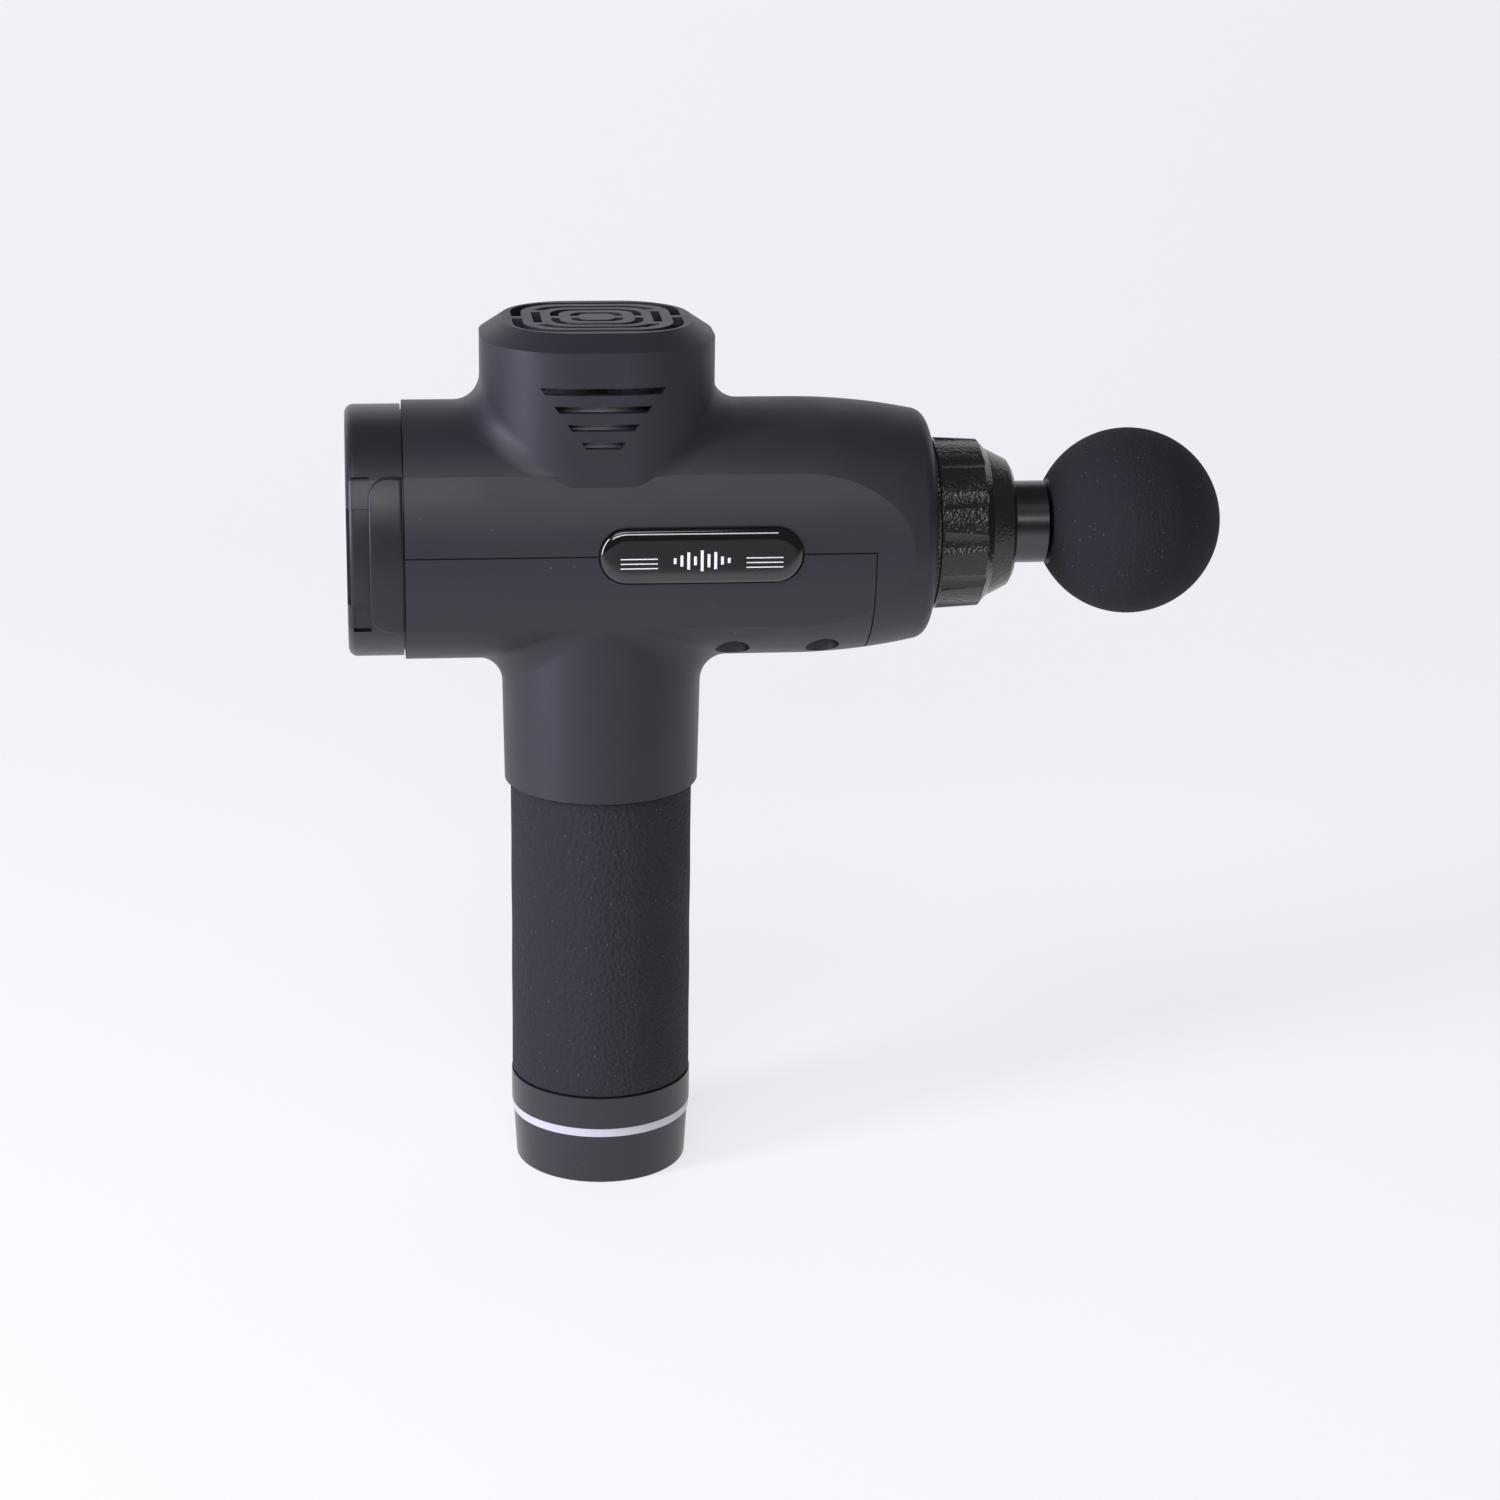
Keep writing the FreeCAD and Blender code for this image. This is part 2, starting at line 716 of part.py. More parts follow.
def crank_pin():
    big_x = wrist_x - rod_length
    low = axis_z - rod_top
    stem = post(pin_radius, low, axis_z + disc_bottom - crank_gap, big_x)
    return stem.fuse(post(pin_radius + pin_flange, low - pin_flange, low, big_x))


def piston():
    body = rod_x(piston_radius, piston_rear, piston_front)
    body = body.cut(rod_x(piston_bore, wrist_x + rod_small_eye + 6.0, piston_front + 1))
    half_slot = rod_top + clevis_gap
    slot_end = wrist_x + rod_small_eye + clevis_gap + 1.0
    body = body.cut(box(piston_rear - 1, slot_end, -20, 20, axis_z - half_slot, axis_z + half_slot))
    body = body.cut(post(pin_radius, axis_z - 20, axis_z + 20, wrist_x))
    front_edges = [e for e in body.Edges if e.BoundBox.XMin > piston_front - 0.01]
    rim = [e for e in front_edges if e.BoundBox.YLength > 2 * piston_bore + 1]
    return body.makeChamfer(0.8, rim)


def wrist_pin():
    reach = math.sqrt(piston_radius ** 2 - pin_radius ** 2) - 0.3
    return post(pin_radius, axis_z - reach, axis_z + reach, wrist_x)


def guide_tube():
    sleeve = tube_x(guide_outer, bush_outer, guide_rear, guide_front)
    return sleeve.fuse(tube_x(guide_flange_radius, bush_outer, flange_rear, flange_rear + guide_flange))


def guide_bushes():
    rear = tube_x(bush_outer, bush_inner, guide_rear, guide_rear + bush_length)
    front = tube_x(bush_outer, bush_inner, guide_front - bush_length, guide_front)
    return rear, front


def nose_damper():
    return tube_x(guide_flange_radius, guide_outer, flange_rear + guide_flange, nose_front - wall)


def nose_seal():
    return tube_x(spigot_inner, piston_radius + 0.3, guide_front + 0.4, spigot_front)


def nose_collar():
    points = [(collar_rear, knurl_radius), (collar_rear + knurl_length, knurl_radius)]
    points += [(collar_rear + knurl_length, collar_radius)]
    points += [(collar_body_end, collar_radius - collar_draft)]
    points += [(collar_shoulder_end, collar_shoulder_radius)]
    points += [(collar_cone_end, collar_cone_radius), (collar_front, collar_front_radius)]
    body = turn_x(points)
    body = body.cut(rod_x(collar_bore, collar_rear - 1, lip_rear))
    body = body.cut(rod_x(piston_radius + 1.2, lip_rear - 1, collar_front + 1))
    place = collar_radius + flute_radius - flute_depth
    for y, z in spread(collar_flutes, place):
        body = body.cut(rod_x(flute_radius, collar_rear + knurl_length + 0.6, collar_front + 1, y, z))
    return body


# ---- ball head ------------------------------------------------------------------------------------
def ball_stem():
    shank = rod_x(stem_radius, ball_flat_x - ball_flat_gap - stem_length, ball_flat_x + stem_flange)
    groove = tube_x(piston_bore, stem_radius - oring_section, oring_x, oring_x + oring_width)
    shank = shank.cut(groove)
    flange = rod_x(ball_flat_radius - 0.4, ball_flat_x, ball_flat_x + stem_flange)
    core = Part.makeSphere(ball_core_radius, vec(ball_x, 0, axis_z))
    core = core.cut(Part.makeSphere(ball_core_radius - ball_core_wall, vec(ball_x, 0, axis_z)))
    link = rod_x(stem_radius, ball_flat_x, ball_x - ball_core_radius + ball_core_wall / 2)
    return join([shank, flange, link, core])


def foam_ball():
    ball = Part.makeSphere(ball_radius, vec(ball_x, 0, axis_z))
    ball = ball.cut(box(ball_x - ball_radius - 1, ball_flat_x, -30, 30, axis_z - 30, axis_z + 30))
    ball = ball.cut(rod_x(ball_flat_radius - 0.4, ball_flat_x - 1, ball_flat_x + stem_flange))
    ball = ball.cut(rod_x(stem_radius, ball_flat_x - 1, ball_x))
    return ball.cut(Part.makeSphere(ball_core_radius, vec(ball_x, 0, axis_z)))


def stem_oring():
    return tube_x(stem_radius, stem_radius - oring_section, oring_x, oring_x + oring_width)


# ---- rear cap and controls ------------------------------------------------------------------------
def side_pads():
    x0 = barrel_rear - pad_length
    full = barrel_bar(0.0, 0.0, x0, cap_joint)
    reach = barrel_radius + 1
    block = box(x0, cap_joint, -reach, reach, axis_z - pad_half_height, axis_z + pad_half_height)
    corners = [e for e in block.Edges if e.BoundBox.YLength > reach and e.BoundBox.XMin < x0 + 0.01]
    return full.common(block.makeFillet(pad_corner, corners))


def finger_recesses():
    """Shallow hollows in the sides of the rear cap, above and below each notch, behind the pads."""
    x0 = rear_face + recess_edge
    x1 = barrel_rear - pad_length
    reach = barrel_radius
    around = box(x0, x1, -reach, reach, axis_z - pad_half_height, axis_z + pad_half_height)
    reach = 2 * barrel_radius
    band = box(x0 - 1, x1 + 1, -reach, reach, axis_z - notch_half_height, axis_z + notch_half_height)
    core = barrel_bar(recess_depth, cap_step, x0 - 1, x1 + 1)
    return around.cut(band).cut(core)


def rear_cap():
    outer = barrel_bar(0.0, cap_step, rear_face, cap_joint)
    rim = [e for e in outer.Edges if e.BoundBox.XMax < rear_face + 0.01]
    outer = outer.makeFillet(cap_edge_radius, rim).cut(finger_recesses()).fuse(side_pads())
    lip = barrel_bar(wall + cap_fit, 0.0, cap_joint - 1, barrel_rear + cap_lip)
    solid = outer.fuse(lip)
    hollow = barrel_bar(wall + cap_fit, cap_step, rear_face + wall, barrel_rear + cap_lip + 1)
    solid = solid.cut(hollow)
    for side in (1, -1):
        y0, y1 = sorted((side * (half_width - 6.0), side * (half_width + 1)))
        low = axis_z - notch_half_height
        high = axis_z + notch_half_height
        solid = solid.cut(box(rear_face - 1, rear_face + notch_depth, y0, y1, low, high))
    solid = solid.cut(rod_x(lens_radius + 0.15, rear_face - 1, rear_face + lens_recess + lens_thickness))
    for y, z in spread(3, standoff_circle, math.pi / 6):
        peg = rod_x(standoff_radius, rear_face + wall - 1, board_x - board_thickness, y, z)
        solid = solid.fuse(peg).cut(rod_x(1.0, board_x - board_thickness - 6.0, board_x, y, z))
    for radius, z in button_places():
        solid = solid.cut(rod_x(radius + button_gap, rear_face - 1, rear_face + 2 * wall, 0.0, z))
    return solid


def button_places():
    upper = (speed_button_radius, button_spacing)
    lower = (speed_button_radius, -button_spacing)
    return ((power_button_radius, 0.0), upper, lower)


def display_lens():
    x0 = rear_face + lens_recess
    lens = rod_x(lens_radius, x0, x0 + lens_thickness)
    for radius, z in button_places():
        lens = lens.cut(rod_x(radius + button_gap, x0 - 1, x0 + lens_thickness + 1, 0.0, z))
    return lens


def button(radius, z):
    cap = rod_x(radius, rear_face + button_recess, rear_face + wall + 1.5, 0.0, z)
    rim = [e for e in cap.Edges if e.BoundBox.XMax < rear_face + button_recess + 0.01]
    cap = cap.makeFillet(0.5, rim)
    flange = rod_x(radius + 1.0, rear_face + wall + 0.5, rear_face + wall + 1.5, 0.0, z)
    stem_end = board_x - board_thickness - switch_height - button_travel - 0.2
    return join([cap, flange, rod_x(1.5, rear_face + wall + 1.0, stem_end, 0.0, z)])


def control_board():
    board = barrel_bar(wall + board_clearance, cap_step, board_x - board_thickness, board_x)
    for y, z in spread(3, standoff_circle, math.pi / 6):
        board = board.cut(rod_x(1.0, board_x - 5, board_x + 1, y, z))
    return board


def board_screws():
    screws = []
    for y, z in spread(3, standoff_circle, math.pi / 6):
        head = rod_x(1.9, board_x, board_x + 1.2, y, z)
        screws.append(head.fuse(rod_x(1.0, board_x - board_thickness - 5.0, board_x, y, z)))
    return screws


def tact_switches():
    x1 = board_x - board_thickness
    return [box(x1 - switch_height, x1, -3, 3, axis_z + z - 3, axis_z + z + 3) for _, z in button_places()]


# ---- grip, cells and base -------------------------------------------------------------------------
def cell_places():
    return spread(cells_per_layer, cell_circle, math.pi / 2)


def cells():
    found = []
    for layer in range(2):
        z0 = cell_bottom + layer * (cell_length + cell_layer_gap)
        for x, y in cell_places():
            found.append(post(cell_radius, z0, z0 + cell_length, x, y))
    return found


def holder(z0, z1):
    ring = post(tube_inner - holder_clearance, z0, z1)
    for layer in range(2):
        low = cell_bottom + layer * (cell_length + cell_layer_gap)
        for x, y in cell_places():
            ring = ring.cut(post(cell_radius + holder_clearance, low, low + cell_length, x, y))
    return ring


def battery_holders():
    middle = cell_bottom + cell_length + cell_layer_gap / 2
    half = holder_thickness / 2 + cell_layer_gap / 2
    lower = holder(web_top, cell_bottom + holder_thickness)
    return lower, holder(middle - half, middle + half), holder(cell_top - holder_thickness, cell_top + 1.0)


def battery_board():
    z0 = cell_top + 1.0
    return post(tube_inner - holder_clearance, z0, z0 + board_thickness)


def grip_sleeve():
    return tube(grip_radius, tube_outer, ring_top + sleeve_gap, neck_bottom - sleeve_gap)


def handle_tube():
    return tube(tube_outer, tube_inner, web_top, tube_top)


def base_screw_places():
    return ((0.0, base_screw_offset), (0.0, -base_screw_offset))


def base_ring():
    ring = tube(ring_radius, tube_outer, ring_bottom, ring_top)
    web = tube(tube_outer, base_wire_hole, ring_bottom, web_top)
    ring = ring.fuse(web)
    for x, y in base_screw_places():
        ring = ring.cut(post(screw_radius, ring_bottom - 1, web_top + 1, x, y))
    return ring


def light_ring():
    return tube(ring_radius - 0.2, tube_inner, light_bottom, ring_bottom)


def light_board():
    board_top = light_bottom + board_thickness
    board = tube(tube_inner - holder_clearance, base_wire_hole, light_bottom, board_top)
    for x, y in base_screw_places():
        board = board.cut(post(screw_radius + 0.2, light_bottom - 1, ring_bottom + 1, x, y))
    return board


def base_cap():
    low = base_radius - base_taper
    body = Part.makeCone(low, base_radius, cap_height, vec(0, 0, 0))
    rim = [e for e in body.Edges if e.BoundBox.ZMax < 0.01]
    body = body.makeFillet(0.6, rim)
    hollow = Part.makeCone(low - base_wall, base_radius - base_wall, cap_height, vec(0, 0, base_wall))
    body = body.cut(hollow)
    for x, y in base_screw_places():
        body = body.fuse(post(boss_radius + 1.2, 0.5, cap_height, x, y))
        body = body.cut(post(head_radius + 0.3, -1, head_height + base_screw_sink, x, y))
        body = body.cut(post(screw_radius + 0.1, 0, cap_height + 1, x, y))
    body = body.cut(post(jack_body_radius, -1, cap_height, -jack_offset))
    reach = switch_travel / 2 + switch_knob_length / 2 + 0.5
    half = switch_knob_width / 2 + 0.4
    return body.cut(box(switch_offset - half, switch_offset + half, -reach, reach, -1, base_wall + 1))


def base_screws():
    screws = []
    for x, y in base_screw_places():
        head = post(head_radius, base_screw_sink, base_screw_sink + head_height, x, y)
        head = head.cut(box(x - 0.4, x + 0.4, y - 1.8, y + 1.8, 0, base_screw_sink + 0.9))
        head = head.cut(box(x - 1.8, x + 1.8, y - 0.4, y + 0.4, 0, base_screw_sink + 0.9))
        screws.append(head.fuse(post(screw_radius, base_screw_sink + head_height, web_top, x, y)))
    return screws


def charge_jack():
    sink = 0.5
    body = post(jack_body_radius, sink, jack_depth + 3.0, -jack_offset)
    body = body.cut(post(jack_socket_radius, 0, sink + jack_depth, -jack_offset))
    return body, post(jack_pin_radius, sink + 1.0, sink + jack_depth, -jack_offset)


def switch_body():
    reach = switch_travel / 2 + switch_knob_length / 2
    half = switch_knob_width / 2
    low = base_wall + 0.3
    half_body = half + 1.6
    left = switch_offset - half_body
    right = switch_offset + half_body
    body = box(left, right, -reach - 2, reach + 2, low, low + 6)
    half_slot = half + 0.2
    left = switch_offset - half_slot
    right = switch_offset + half_slot
    return body.cut(box(left, right, -reach - 0.3, reach + 0.3, low - 1, low + 2.5))


def switch_knob():
    half = switch_knob_width / 2
    y0 = -switch_travel / 2 - switch_knob_length / 2
    y1 = y0 + switch_knob_length
    return box(switch_offset - half, switch_offset + half, y0, y1, 0.5, base_wall + 2.5)


# ---- badge and housing screws ---------------------------------------------------------------------
def badge(side):
    """A round-ended plate whose face is a shallow dome, seated in the pocket of the side wall."""
    floor = half_width - badge_seat
    face = half_width + badge_rise
    y0, y1 = sorted((side * floor, side * face))
    plate = pill(badge_length / 2, badge_height / 2, y0, y1)
    level = [e for e in plate.Edges if e.BoundBox.YLength < 0.01]
    outer = [e for e in level if abs(abs(e.BoundBox.YMin) - face) < 0.01]
    return plate.makeFillet(badge_rise - 0.05, outer)


def housing_screws():
    screws = []
    for x, y in well_places():
        z0 = axis_z + well_top - head_height - 1
        head = post(head_radius, z0, z0 + head_height, x, y)
        head = head.cut(box(x - 0.4, x + 0.4, y - 1.8, y + 1.8, z0 - 1, z0 + 0.9))
        head = head.cut(box(x - 1.8, x + 1.8, y - 0.4, y + 0.4, z0 - 1, z0 + 0.9))
        screws.append(head.fuse(post(screw_radius, z0 + head_height, axis_z + boss_screw_depth - 2, x, y)))
    return screws


def motor_screws():
    screws = []
    z1 = axis_z + plate_bottom
    for x, y in motor_screw_places():
        head = post(head_radius, z1 - head_height, z1, x, y)
        screws.append(head.fuse(post(screw_radius, z1, axis_z + motor_bottom + 1.5, x, y)))
    return screws


def main():
    os.makedirs("parts", exist_ok=True)
    upper_shell, lower_shell, skin, hollow = housing_shells()
    save("upper_housing", upper_housing(upper_shell, hollow))
    save("lower_housing", lower_housing(lower_shell, skin, hollow))
    save("rear_cap", rear_cap())
    save("display_lens", display_lens())
    names = ("power_button", "plus_button", "minus_button")
    for name, (radius, z) in zip(names, button_places()):
        save(name, button(radius, z))
    save("control_board", control_board())
    save("board_screws", Part.makeCompound(board_screws()))
    save("tact_switches", Part.makeCompound(tact_switches()))
    save("left_badge", badge(1))
    save("right_badge", badge(-1))
    save("housing_screws", Part.makeCompound(housing_screws()))
    save("drive_frame", drive_frame())
    save("frame_dampers", Part.makeCompound(frame_dampers()))
    save("motor_screws", Part.makeCompound(motor_screws()))
    base, can, core, magnet, lower_bearing, upper_bearing = motor_parts()
    save("motor_base", base)
    save("motor_can", can)
    save("stator_core", core)
    save("rotor_magnet", magnet)
    save("lower_motor_bearing", lower_bearing)
    save("upper_motor_bearing", upper_bearing)
    save("motor_shaft", post(motor_shaft_radius, axis_z + disc_bottom, axis_z + fan_top - 1, tower_x))
    save("crank_disc", crank_disc())
    save("cooling_fan", cooling_fan())
    save("connecting_rod", connecting_rod())
    big_x = wrist_x - rod_length
    low = axis_z - rod_top
    save("crank_bearing", tube(crank_bearing_radius, pin_radius, low, low + rod_thickness, big_x))
    save("crank_pin", crank_pin())
    save("piston", piston())
    save("wrist_pin", wrist_pin())
    save("guide_tube", guide_tube())
    rear_bush, front_bush = guide_bushes()
    save("rear_guide_bush", rear_bush)
    save("front_guide_bush", front_bush)
    save("nose_damper", nose_damper())
    save("nose_seal", nose_seal())
    save("nose_collar", nose_collar())
    save("ball_stem", ball_stem())
    save("stem_oring", stem_oring())
    save("foam_ball", foam_ball())
    for number, cell in enumerate(cells(), 1):
        save("battery_cell_" + str(number), cell)
    lower_holder, middle_holder, upper_holder = battery_holders()
    save("lower_cell_holder", lower_holder)
    save("middle_cell_holder", middle_holder)
    save("upper_cell_holder", upper_holder)
    save("battery_board", battery_board())
    save("handle_tube", handle_tube())
    save("grip_sleeve", grip_sleeve())
    save("base_ring", base_ring())
    save("light_ring", light_ring())
    save("light_board", light_board())
    save("base_cap", base_cap())
    save("base_screws", Part.makeCompound(base_screws()))
    jack_body, jack_pin = charge_jack()
    save("charge_jack", jack_body)
    save("jack_pin", jack_pin)
    save("switch_body", switch_body())
    save("switch_knob", switch_knob())


main()
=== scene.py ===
import json
import math

import bpy
from bpy.props import FloatProperty, FloatVectorProperty, IntProperty, PointerProperty
from bpy.types import Operator, Panel, PropertyGroup
from mathutils import Matrix, Vector


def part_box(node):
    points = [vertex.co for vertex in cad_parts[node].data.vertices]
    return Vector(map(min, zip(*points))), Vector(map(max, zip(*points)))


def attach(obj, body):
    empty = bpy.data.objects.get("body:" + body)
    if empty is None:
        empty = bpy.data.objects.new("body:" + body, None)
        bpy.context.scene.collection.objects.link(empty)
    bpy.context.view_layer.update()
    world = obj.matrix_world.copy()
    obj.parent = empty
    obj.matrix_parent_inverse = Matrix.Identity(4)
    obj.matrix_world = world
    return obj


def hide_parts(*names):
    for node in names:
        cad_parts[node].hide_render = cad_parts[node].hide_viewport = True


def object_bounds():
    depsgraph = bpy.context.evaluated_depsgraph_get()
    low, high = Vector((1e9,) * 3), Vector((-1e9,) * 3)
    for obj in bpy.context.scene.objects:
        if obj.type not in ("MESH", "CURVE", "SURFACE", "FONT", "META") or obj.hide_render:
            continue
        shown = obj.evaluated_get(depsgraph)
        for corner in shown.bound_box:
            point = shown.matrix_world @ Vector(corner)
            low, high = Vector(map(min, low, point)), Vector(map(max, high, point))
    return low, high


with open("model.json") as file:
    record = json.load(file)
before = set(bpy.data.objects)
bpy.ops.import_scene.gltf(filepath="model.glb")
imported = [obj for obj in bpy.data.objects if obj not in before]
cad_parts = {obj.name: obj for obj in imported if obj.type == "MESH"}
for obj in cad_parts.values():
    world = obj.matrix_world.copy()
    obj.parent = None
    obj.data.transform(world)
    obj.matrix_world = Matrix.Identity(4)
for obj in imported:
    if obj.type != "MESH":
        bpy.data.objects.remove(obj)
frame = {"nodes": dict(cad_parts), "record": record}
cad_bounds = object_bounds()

bl_info = {
    "name": "Massage gun finish",
    "version": (1, 0, 0),
    "blender": (4, 5, 0),
    "location": "3D View > Sidebar > Massage gun",
    "description": "Surfaces, soft parts, badges, controls and stage for a massage gun",
    "category": "Object",
}

MM = 0.001


# ---- places read from the frame ----------------------------------------------------------------
def middle(node):
    """The centre of a node's box at rest."""
    low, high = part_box(node)
    return (low + high) / 2


def barrel_axis():
    """The height of the barrel's axis, which is the centre of the nose collar."""
    return middle("nose_collar").z


# ---- settings ----------------------------------------------------------------------------------
class GunFinishSettings(PropertyGroup):
    """Colours and finishes of the visible parts."""

    shell_colour: FloatVectorProperty(
        name="Casing colour", description="Base colour of the soft-touch casing",
        subtype="COLOR", size=3, min=0, max=1, default=(0.021, 0.0182, 0.0265))
    shell_roughness: FloatProperty(
        name="Casing roughness", description="Middle roughness of the casing",
        min=0, max=1, default=0.46)
    foam_colour: FloatVectorProperty(
        name="Foam colour", description="Base colour of the ball and the grip",
        subtype="COLOR", size=3, min=0, max=1, default=(0.0165, 0.0155, 0.0205))
    light_colour: FloatVectorProperty(
        name="Light ring colour", description="Colour of the unlit diffuser ring",
        subtype="COLOR", size=3, min=0, max=1, default=(0.6, 0.585, 0.64))
    print_colour: FloatVectorProperty(
        name="Print colour", description="Colour of stripes, bars and button marks",
        subtype="COLOR", size=3, min=0, max=1, default=(0.82, 0.83, 0.86))


class GunShapeSettings(PropertyGroup):
    """Sizes of the pieces that are modelled here."""

    ball_segments: IntProperty(
        name="Ball segments", description="Divisions round the foam ball",
        min=24, max=192, default=112)
    sleeve_round: FloatProperty(
        name="Sleeve edge", description="Rounding of the grip sleeve's ends",
        unit="LENGTH", min=0, default=0.7 * MM)
    badge_dome: FloatProperty(
        name="Badge dome", description="Height of the badge's clear dome over its edge",
        unit="LENGTH", min=0, default=1.1 * MM)
    print_height: FloatProperty(
        name="Print height", description="How far the print stands over the surface",
        unit="LENGTH", min=0, default=0.03 * MM)
    pad_length: FloatProperty(
        name="Pad length", description="Length of the rear cap's side pad along the barrel",
        unit="LENGTH", min=0, default=8.6 * MM)
    pad_height: FloatProperty(
        name="Pad height", description="Height of the rear cap's side pad",
        unit="LENGTH", min=0, default=41.0 * MM)
    pad_corner: FloatProperty(
        name="Pad corner", description="Rounding of the pad's two rear corners",
        unit="LENGTH", min=0, default=5.0 * MM)
    pad_seam: FloatProperty(
        name="Pad seam", description="Gap between the pad and the casing",
        unit="LENGTH", min=0, default=0.5 * MM)
    side_arc: FloatProperty(
        name="Side arc", description="Radius of the barrel's flatter sides",
        unit="LENGTH", min=0, default=53.0 * MM)
    knurl_teeth: IntProperty(
        name="Knurl teeth", description="Teeth round the collar's rear band",
        min=12, max=240, default=96)


class GunStageSettings(PropertyGroup):
    """Camera, floor and lights."""

    camera_yaw: FloatProperty(
        name="Camera yaw", description="Turn of the view from straight ahead",
        subtype="ANGLE", default=math.radians(6.5))
    camera_pitch: FloatProperty(
        name="Camera pitch", description="How far the view looks down",
        subtype="ANGLE", default=math.radians(17.9))
    camera_roll: FloatProperty(
        name="Camera roll", description="Lean of the camera",
        subtype="ANGLE", default=math.radians(0.86))
    camera_distance: FloatProperty(
        name="Camera distance", description="From the lens to the point it looks at",
        unit="LENGTH", default=0.9545)
    camera_target: FloatVectorProperty(
        name="Camera target", description="Point that the camera looks at",
        subtype="TRANSLATION", size=3, default=(0.0407, 0.0, 0.1168))
    camera_lens: FloatProperty(
        name="Focal length", description="Focal length on a 36 mm sensor, in millimetres",
        default=84.0)
    floor_size: FloatProperty(
        name="Floor size", description="Width of the floor", unit="LENGTH", default=8.0)
    world_strength: FloatProperty(
        name="Room light", description="Strength of the even light of the room", default=0.12)
    wall_distance: FloatProperty(
        name="Wall distance", description="From the object to the wall behind it",
        unit="LENGTH", default=1.5)
    wall_height: FloatProperty(
        name="Wall height", description="Height of the wall behind the object",
        unit="LENGTH", default=1.6)
    floor_glow: FloatProperty(
        name="Floor glow", description="Even brightness of the lit table, before any shadow",
        default=0.7)
    key_power: FloatProperty(
        name="Key light", description="Power of the large soft light",
        unit="POWER", default=7.0)
    side_power: FloatProperty(
        name="Left light", description="Power of the upright soft light",
        unit="POWER", default=20.0)
    front_power: FloatProperty(
        name="Front light", description="Power of the low light by the camera",
        unit="POWER", default=9.0)


# ---- mesh tools --------------------------------------------------------------------------------
def clear_selection():
    """Leaves edit mode and deselects everything."""
    if bpy.context.object and bpy.context.object.mode != "OBJECT":
        bpy.ops.object.mode_set(mode="OBJECT")
    bpy.ops.object.select_all(action="DESELECT")


def select_only(piece):
    clear_selection()
    piece.select_set(True)
    bpy.context.view_layer.objects.active = piece


def settle(piece, angle=35.0):
    """Puts the place into the mesh, merges doubles, turns the faces outwards and smooths it.

    Edges sharper than the angle, in degrees, stay sharp.
    """
    select_only(piece)
    bpy.ops.object.transform_apply(location=True, rotation=True, scale=True)
    bpy.ops.object.mode_set(mode="EDIT")
    bpy.ops.mesh.select_all(action="SELECT")
    bpy.ops.mesh.remove_doubles(threshold=1e-6)
    bpy.ops.mesh.normals_make_consistent(inside=False)
    bpy.ops.object.mode_set(mode="OBJECT")
    bpy.ops.object.shade_smooth_by_angle(angle=math.radians(angle))
    return piece


def name_piece(name):
    """Names the active object and its mesh."""
    piece = bpy.context.object
    piece.name = name
    piece.data.name = name
    return piece


def copied(piece, name):
    """A copy with its own mesh, which is left selected."""
    select_only(piece)
    bpy.ops.object.duplicate(linked=False)
    return name_piece(name)


def mirrored(piece, name, angle):
    """A copy on the other side of the object's middle plane, with its faces outwards."""
    other = copied(piece, name)
    other.scale = (1, -1, 1)
    return settle(other, angle)


def turned(name, profile, place, axis, segments):
    """A closed turned form: a circle extruded and scaled through the (radius, along) points."""
    clear_selection()
    radius, along = profile[0]
    bpy.ops.mesh.primitive_circle_add(vertices=segments, radius=radius, location=(0, 0, along))
    piece = name_piece(name)
    bpy.ops.object.transform_apply(location=True, rotation=True, scale=True)
    bpy.ops.object.mode_set(mode="EDIT")
    bpy.ops.mesh.select_all(action="SELECT")
    for next_radius, next_along in profile[1:] + profile[:1]:
        move = {"value": (0, 0, next_along - along)}
        bpy.ops.mesh.extrude_region_move(TRANSFORM_OT_translate=move)
        ratio = next_radius / radius
        bpy.ops.transform.resize(value=(ratio, ratio, 1), center_override=(0, 0, next_along))
        radius, along = next_radius, next_along
    bpy.ops.object.mode_set(mode="OBJECT")
    if axis == "X":
        piece.rotation_euler = (0, math.pi / 2, 0)
    piece.location = place
    return settle(piece)


def block(name, size, place, round_edge=0.0):
    """A box of the given size, with its edges rounded."""
    clear_selection()
    bpy.ops.mesh.primitive_cube_add(size=1, location=place)
    piece = name_piece(name)
    piece.scale = size
    bpy.ops.object.transform_apply(location=True, rotation=True, scale=True)
    if round_edge > 0:
        bpy.ops.object.mode_set(mode="EDIT")
        bpy.ops.mesh.select_all(action="SELECT")
        bpy.ops.mesh.bevel(offset=round_edge, segments=2, affect="EDGES")
        bpy.ops.object.mode_set(mode="OBJECT")
    return piece


def joined(name, pieces):
    """One object made of several."""
    clear_selection()
    for piece in pieces:
        piece.select_set(True)
    bpy.context.view_layer.objects.active = pieces[0]
    bpy.ops.object.join()
    return name_piece(name)


# ---- shader groups -----------------------------------------------------------------------------
def new_group(name, inputs, outputs):
    """An empty shader group with named float, vector or colour sockets."""
    group = bpy.data.node_groups.new(name, "ShaderNodeTree")
    for label, kind, value in inputs:
        socket = group.interface.new_socket(label, in_out="INPUT", socket_type=kind)
        if value is not None:
            socket.default_value = value
    for label, kind in outputs:
        group.interface.new_socket(label, in_out="OUTPUT", socket_type=kind)
    return group, group.nodes.new("NodeGroupInput"), group.nodes.new("NodeGroupOutput")


